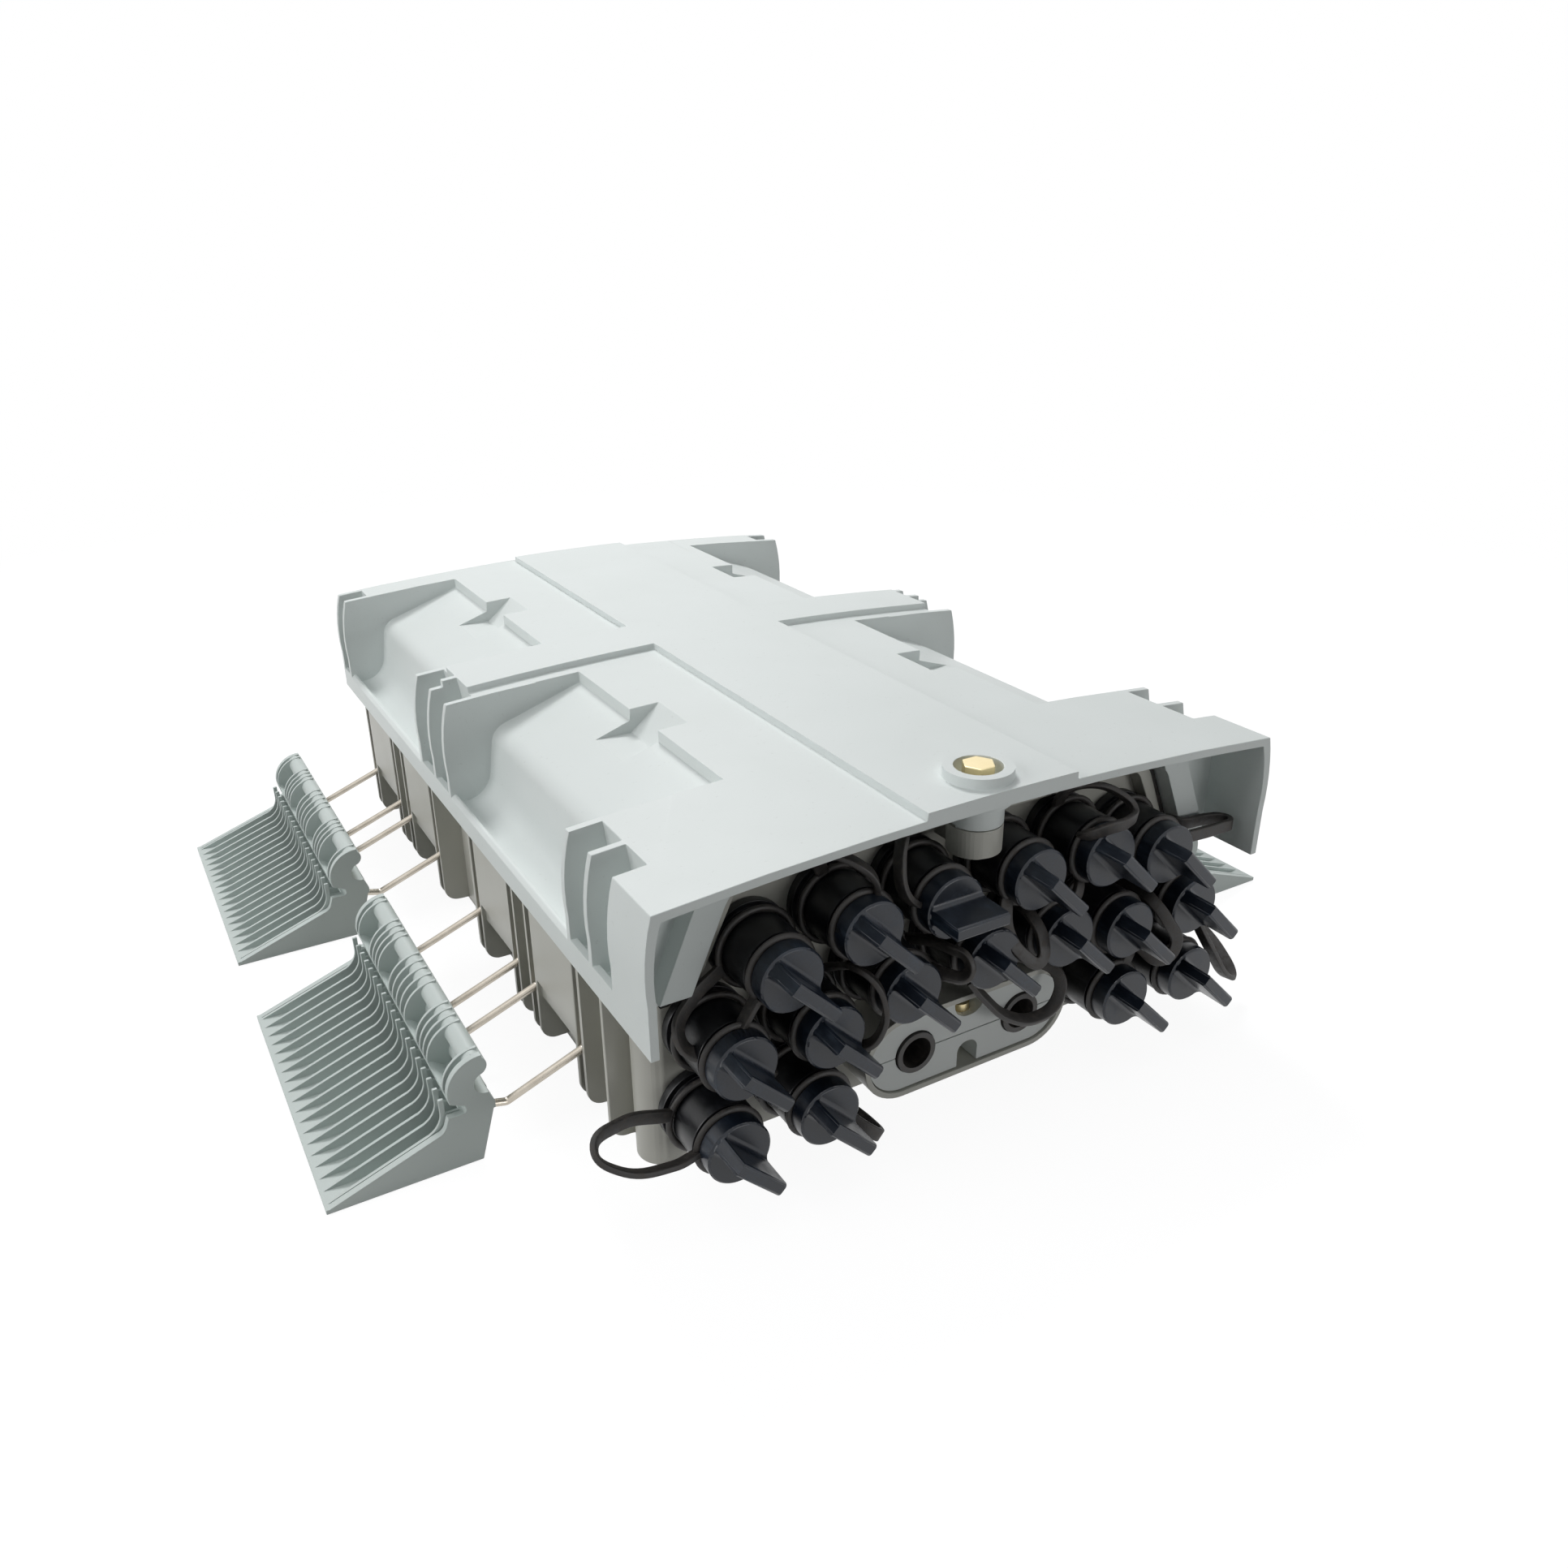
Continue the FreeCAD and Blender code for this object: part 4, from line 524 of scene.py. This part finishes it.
# %% [markdown]
# In the picture every belt lies its own way, so each has its own few points from the ring round the
# adapter to the ring round the neck. A belt that the picture hides, or that would lie in the way of
# a turning cap, is a plain loop.

# %% How each belt lies
def teardrop(port, degrees, reach):
    """A plain loop that leaves its port one way, seen from the front, and comes back above itself."""
    x, z = PORTS[port]
    way = (math.cos(math.radians(degrees)), math.sin(math.radians(degrees)))
    # Each point has its distance from the port's axis and its distance ahead of the panel.
    route = ((13.6, FOOT_AHEAD), (reach - 4, 8.4), (reach, 13.0),
             (reach - 0.6, 19.0), (reach - 5, 22.6), (11.4, NECK_AHEAD))
    return [(x + way[0] * out, PANEL - ahead, z + way[1] * out) for out, ahead in route]


BELTS = {
    "top_1": [(-92.5, -180.6, 76), (-104.8, -183, 69.2), (-111.5, -188, 62.6), (-107.5, -192, 56),
              (-99.5, -195, 58.5), (-88.2, -196.3, 72.7)],
    "top_2": [(-55, -180.6, 100), (-58.5, -184, 107), (-57, -190, 111), (-51.5, -196, 109),
              (-46, -197.5, 102.5), (-44.5, -196.3, 97)],
    "top_3": [(-24, -180.6, 99.5), (-27, -184, 107), (-30.5, -190, 110.5), (-35, -195, 105.5),
              (-35.5, -198, 96), (-31, -198, 90), (-28, -196.4, 88)],
    "top_4": [(20, -180.6, 73.4), (20.5, -188, 71.5), (20.5, -198, 69), (20.3, -204.5, 62.5),
              (17.5, -206.5, 56.5), (12.3, -205, 59.5), (7, -201.5, 68.5), (8.8, -197, 77),
              (9.6, -196.4, 78.8)],
    "top_5": [(44, -180.6, 100), (43, -185, 106.5), (49, -190.5, 110), (57.5, -196.5, 107),
              (60.5, -201.5, 101.8), (54.5, -205, 100.5), (46.5, -204.5, 99.8), (40.8, -200, 96.5),
              (41.4, -196.4, 94.2)],
    "top_6": [(93.3, -180.6, 80.6), (98, -182.6, 80.8), (101.5, -188, 80.8), (112, -188.8, 80),
              (119.6, -191.4, 79.4), (119.6, -195.2, 79.4), (112, -197, 80), (91.2, -196.4, 80.4)],
    "middle_1": teardrop("middle_1", 314, 22.5),
    "middle_2": [(-54.9, -180.6, 63.8), (-52.6, -188, 68), (-52, -197, 71.5), (-49.4, -203, 69.5),
                 (-46.8, -205.5, 62), (-47.2, -205.5, 52), (-51.5, -202.5, 45), (-54.8, -198, 45),
                 (-55.4, -196.4, 46)],
    "middle_3": [(-20.6, -180.6, 64.6), (-18.6, -190, 68), (-17, -200, 69.5), (-14.2, -206, 68),
                 (-15, -207.5, 62.5), (-19.6, -203, 61.6), (-22.6, -196.4, 62)],
    "middle_4": [(10.6, -180.6, 52.6), (20, -185.5, 47.8), (29.5, -192, 45.4), (34, -199, 42),
                 (31, -203, 34.5), (21, -203.5, 30.5), (9.5, -201.5, 34), (0.5, -198.5, 43.5),
                 (-4.6, -196.4, 51)],
    "middle_5": teardrop("middle_5", 52, 21.0),
    "middle_6": [(76.2, -180.6, 58.6), (78.9, -190, 60.5), (79, -199, 58.5), (81.2, -205, 52.5),
                 (85.4, -206.5, 42), (81, -204.5, 35.5), (75.4, -200, 39.5), (72, -196.4, 45.5)],
    "middle_7": [(106.6, -180.6, 44.2), (119, -186, 31.5), (128.5, -193.5, 17.5), (128.8, -199.5, 11),
                 (122, -202, 14), (112, -200.5, 29), (104, -196.4, 45)],
    "bottom_1": [(-112.6, -180.6, 27), (-132, -184, 33.5), (-142.4, -190, 32.5), (-137.5, -195, 26.5),
                 (-119.5, -197, 21.5), (-110.8, -196.3, 22)],
    "bottom_2": [(-54.2, -180.6, 14.8), (-49, -188, 9.5), (-46.2, -197, 7.5), (-45.8, -203, 7),
                 (-48.5, -205, 9.5), (-54, -200.5, 14), (-56.2, -196.4, 16.6)],
    "bottom_3": teardrop("bottom_3", 62, 22.0),
    "bottom_4": teardrop("bottom_4", 137, 20.5),
}
print("belts", len(BELTS), "with", sum(len(route) for route in BELTS.values()), "points")

# %% [markdown]
# The belt's section is a rounded rectangle, drawn once as a closed curve. Blender can sweep such a
# curve along another one, which gives a flat belt that still follows every loop.

# %% Section of a belt
BELT_HALF_WIDE = 2.3
BELT_HALF_THICK = 1.0
BELT_ROUND = 0.45
CORNER_POINTS = 4


def belt_section():
    """The belt's rounded rectangle, wide upwards and thin across, as a closed curve."""
    bpy.ops.object.select_all(action="DESELECT")
    bpy.ops.curve.primitive_nurbs_circle_add(radius=1)
    section = bpy.context.object
    section.data.dimensions = "2D"
    section.data.splines.clear()
    ring = section.data.splines.new("POLY")
    outline = []
    for quarter in range(4):
        across = 1 if quarter in (0, 3) else -1
        upwards = 1 if quarter in (0, 1) else -1
        for step in range(CORNER_POINTS):
            turn = math.radians(90 * quarter + 90 / (CORNER_POINTS - 1) * step)
            outline.append((across * (BELT_HALF_THICK - BELT_ROUND) + BELT_ROUND * math.cos(turn),
                            upwards * (BELT_HALF_WIDE - BELT_ROUND) + BELT_ROUND * math.sin(turn)))
    ring.points.add(len(outline) - 1)
    for point, (x, y) in zip(ring.points, outline):
        point.co = (x * MM, y * MM, 0, 1)
    ring.use_cyclic_u = True
    return section


section = belt_section()
print("belt section of", len(section.data.splines[0].points), "points")

# %% [markdown]
# A curve with automatic handles runs through a belt's points. With minimum twist it keeps the way up
# of its section along a loop, so one tilt for all points lays the flat side along the loop. The belt
# becomes a mesh and is joined with its two rings.

# %% Straps
BELT_STEPS = 10
STRAP_SMOOTH_ANGLE = math.radians(40)


def belt_tilt(port, route):
    """How far the section turns at the start so that its wide side stands across the loop."""
    centre = Vector((port[0] * MM, 0, port[1] * MM))
    spread = max(((place - centre) * Vector((1, 0, 1)) for place in route), key=lambda v: v.length)
    flat = Vector((0, 1, 0)).cross(spread).normalized()
    start = (route[1] - route[0]).normalized()
    upright = (Vector((0, 0, 1)) - start * start.z).normalized()
    wide = (flat - start * flat.dot(start)).normalized()
    return math.atan2(upright.cross(wide).dot(start), upright.dot(wide))


def belt_curve(name, port, route):
    bpy.ops.object.select_all(action="DESELECT")
    bpy.ops.curve.primitive_bezier_curve_add()
    belt = bpy.context.object
    belt.name = name
    belt.data.dimensions = "3D"
    belt.data.twist_mode = "MINIMUM"
    belt.data.resolution_u = BELT_STEPS
    belt.data.bevel_mode = "OBJECT"
    belt.data.bevel_object = section
    belt.data.use_fill_caps = True
    line = belt.data.splines[0].bezier_points
    line.add(len(route) - len(line))
    tilt = belt_tilt(port, route)
    for point, place in zip(line, route):
        point.co = place
        point.handle_left_type = "AUTO"
        point.handle_right_type = "AUTO"
        point.tilt = tilt
    return belt


def strap(node, port, route):
    belt = belt_curve(f"{node}_belt", port, [Vector(point) * MM for point in route])
    rings = [strap_ring(port, *ring) for ring in (FOOT_RING, NECK_RING)]
    choose(belt)
    bpy.ops.object.convert(target="MESH")
    for piece in (belt, *rings):
        piece.select_set(True)
    bpy.ops.object.transform_apply(location=True, rotation=True, scale=True)
    bpy.ops.object.join()
    bpy.ops.object.shade_smooth_by_angle(angle=STRAP_SMOOTH_ANGLE)
    return hand_over(belt, rubber, node)


straps = [strap(f"strap_{name}", PORTS[name], route) for name, route in BELTS.items()]
bpy.data.objects.remove(section)
print("straps", len(straps), "faces", sum(len(s.data.polygons) for s in straps))

# %% [markdown]
# ## The rest of the frame
# Wires, seal, nuts, tray and clamp already have the form that they need, because they are round,
# flat or hidden. They keep their CAD meshes and only get a finish.

# %% Finish the remaining nodes
PLAIN = {"_bails": wire_nickel, "cover_seal": rubber, "adapter_nuts": black_plastic,
         "bolt_insert": bolt_brass, "entry_screw": bolt_brass, "splice_tray": tray_grey,
         "tray_lid": lid_clear, "feeder_clamp": tray_grey}
for word, finish in PLAIN.items():
    for node in named(word):
        nodes[node].data.materials.clear()
        nodes[node].data.materials.append(finish)
        choose(nodes[node])
        bpy.ops.object.shade_smooth_by_angle(angle=SHARP_ANGLE)
print("plain nodes finished", [n for word in PLAIN for n in named(word)])

# %% [markdown]
# ## A white studio
# The picture has a pure white ground with a faint shadow. Making the ground white with more light
# would burn out the pale cover, so the floor glows, but only for rays that show it as a background:
# what they see is part glow and part lit floor, and the shadow only dims the lit part. Away from the
# box the glow alone takes over, so that no horizon shows. All other rays meet plain pale paper.

# %% Floor
WHITE = (1, 1, 1, 1)
FLOOR_HALF = 12.0
FLOOR_GLOW = 0.93
FLOOR_LIT = tint(112, 112, 113)
FLOOR_PAPER = tint(182, 182, 180)
FLOOR_NEAR = 0.40
FLOOR_FAR = 0.95

bpy.ops.object.select_all(action="DESELECT")
bpy.ops.mesh.primitive_plane_add(size=FLOOR_HALF * 2, location=(0, 0, 0))
floor = bpy.context.object
floor.name = "studio_floor"
paper = Finish("studio paper")
lit = paper.node("ShaderNodeBsdfDiffuse", None, {"Color": FLOOR_LIT})
glow = paper.node("ShaderNodeEmission", None, {"Color": WHITE, "Strength": FLOOR_GLOW})
near = paper.node("ShaderNodeAddShader", None, {0: lit, 1: glow})
far = paper.node("ShaderNodeEmission", None, {"Color": WHITE, "Strength": 1.0})
distance = paper.node("ShaderNodeVectorMath", {"operation": "LENGTH"}, {0: paper.place}, "Value")
ground = paper.node("ShaderNodeMixShader", None, {
    0: paper.ramp(distance, FLOOR_NEAR, FLOOR_FAR), 1: near, 2: far})
plain = paper.node("ShaderNodeBsdfDiffuse", None, {"Color": FLOOR_PAPER})
surface = paper.node("ShaderNodeMixShader", None, {0: paper.shows_background(), 1: plain, 2: ground})
paper.feed(paper.tree.nodes["Material Output"].inputs["Surface"], surface)
floor.data.materials.append(paper.material)
print("floor", floor.dimensions[:2])

# %% [markdown]
# ## Light
# The walls that face the camera are the dark ones in the picture, so the key lamp stands behind the
# box, small enough for a crisp shadow. A broad lamp at the left lights the flank and the latches. A
# low one at the front right reaches the caps and the oval entry but not the recesses behind the hood.
# A weak one overhead fills the rest. On a level face their sum is about 1, so that colours come out
# as they are written.

# %% Lamps
# Each lamp has its place and its side in metres and its power in watts.
LAMPS = {
    "key": ((0.25, 0.85, 1.35), 0.45, 12.6),
    "left": ((-1.6, 0.1, 0.75), 1.2, 13.4),
    "overhead": ((0.0, -0.1, 1.6), 1.6, 5.4),
    "front": ((0.55, -1.7, 0.14), 0.6, 5.2),
}
LAMP_AIM = Vector((0, 0, 0.06))
for name, (place, side, power) in LAMPS.items():
    bpy.ops.object.light_add(type="AREA", location=place)
    lamp = bpy.context.object
    lamp.name = name
    lamp.data.size = side
    lamp.data.energy = power
    lamp.rotation_euler = (LAMP_AIM - Vector(place)).to_track_quat("-Z", "Y").to_euler()
print("lamps", list(LAMPS))

# %% [markdown]
# The world is white for the same rays as the floor, so that wire and bolt mirror a white studio, and
# it is a weak, slightly blue fill for all others.

# %% World
FILL_COLOUR = (0.95, 0.98, 1.0, 1)
FILL_STRENGTH = 0.09

world = bpy.data.worlds.new("studio")
bpy.context.scene.world = world
world.use_nodes = True
sky = Shading(world.node_tree)
fill = sky.tree.nodes["Background"]
sky.feed(fill.inputs["Color"], FILL_COLOUR)
sky.feed(fill.inputs["Strength"], FILL_STRENGTH)
white = sky.node("ShaderNodeBackground", None, {"Color": WHITE, "Strength": 1.0})
surround = sky.node("ShaderNodeMixShader", None, {
    0: sky.shows_background(), 1: Field(sky, fill.outputs[0]), 2: white})
sky.feed(sky.tree.nodes["World Output"].inputs["Surface"], surround)
bpy.context.scene.view_settings.view_transform = "Standard"
print("world fill", FILL_STRENGTH)

# %% [markdown]
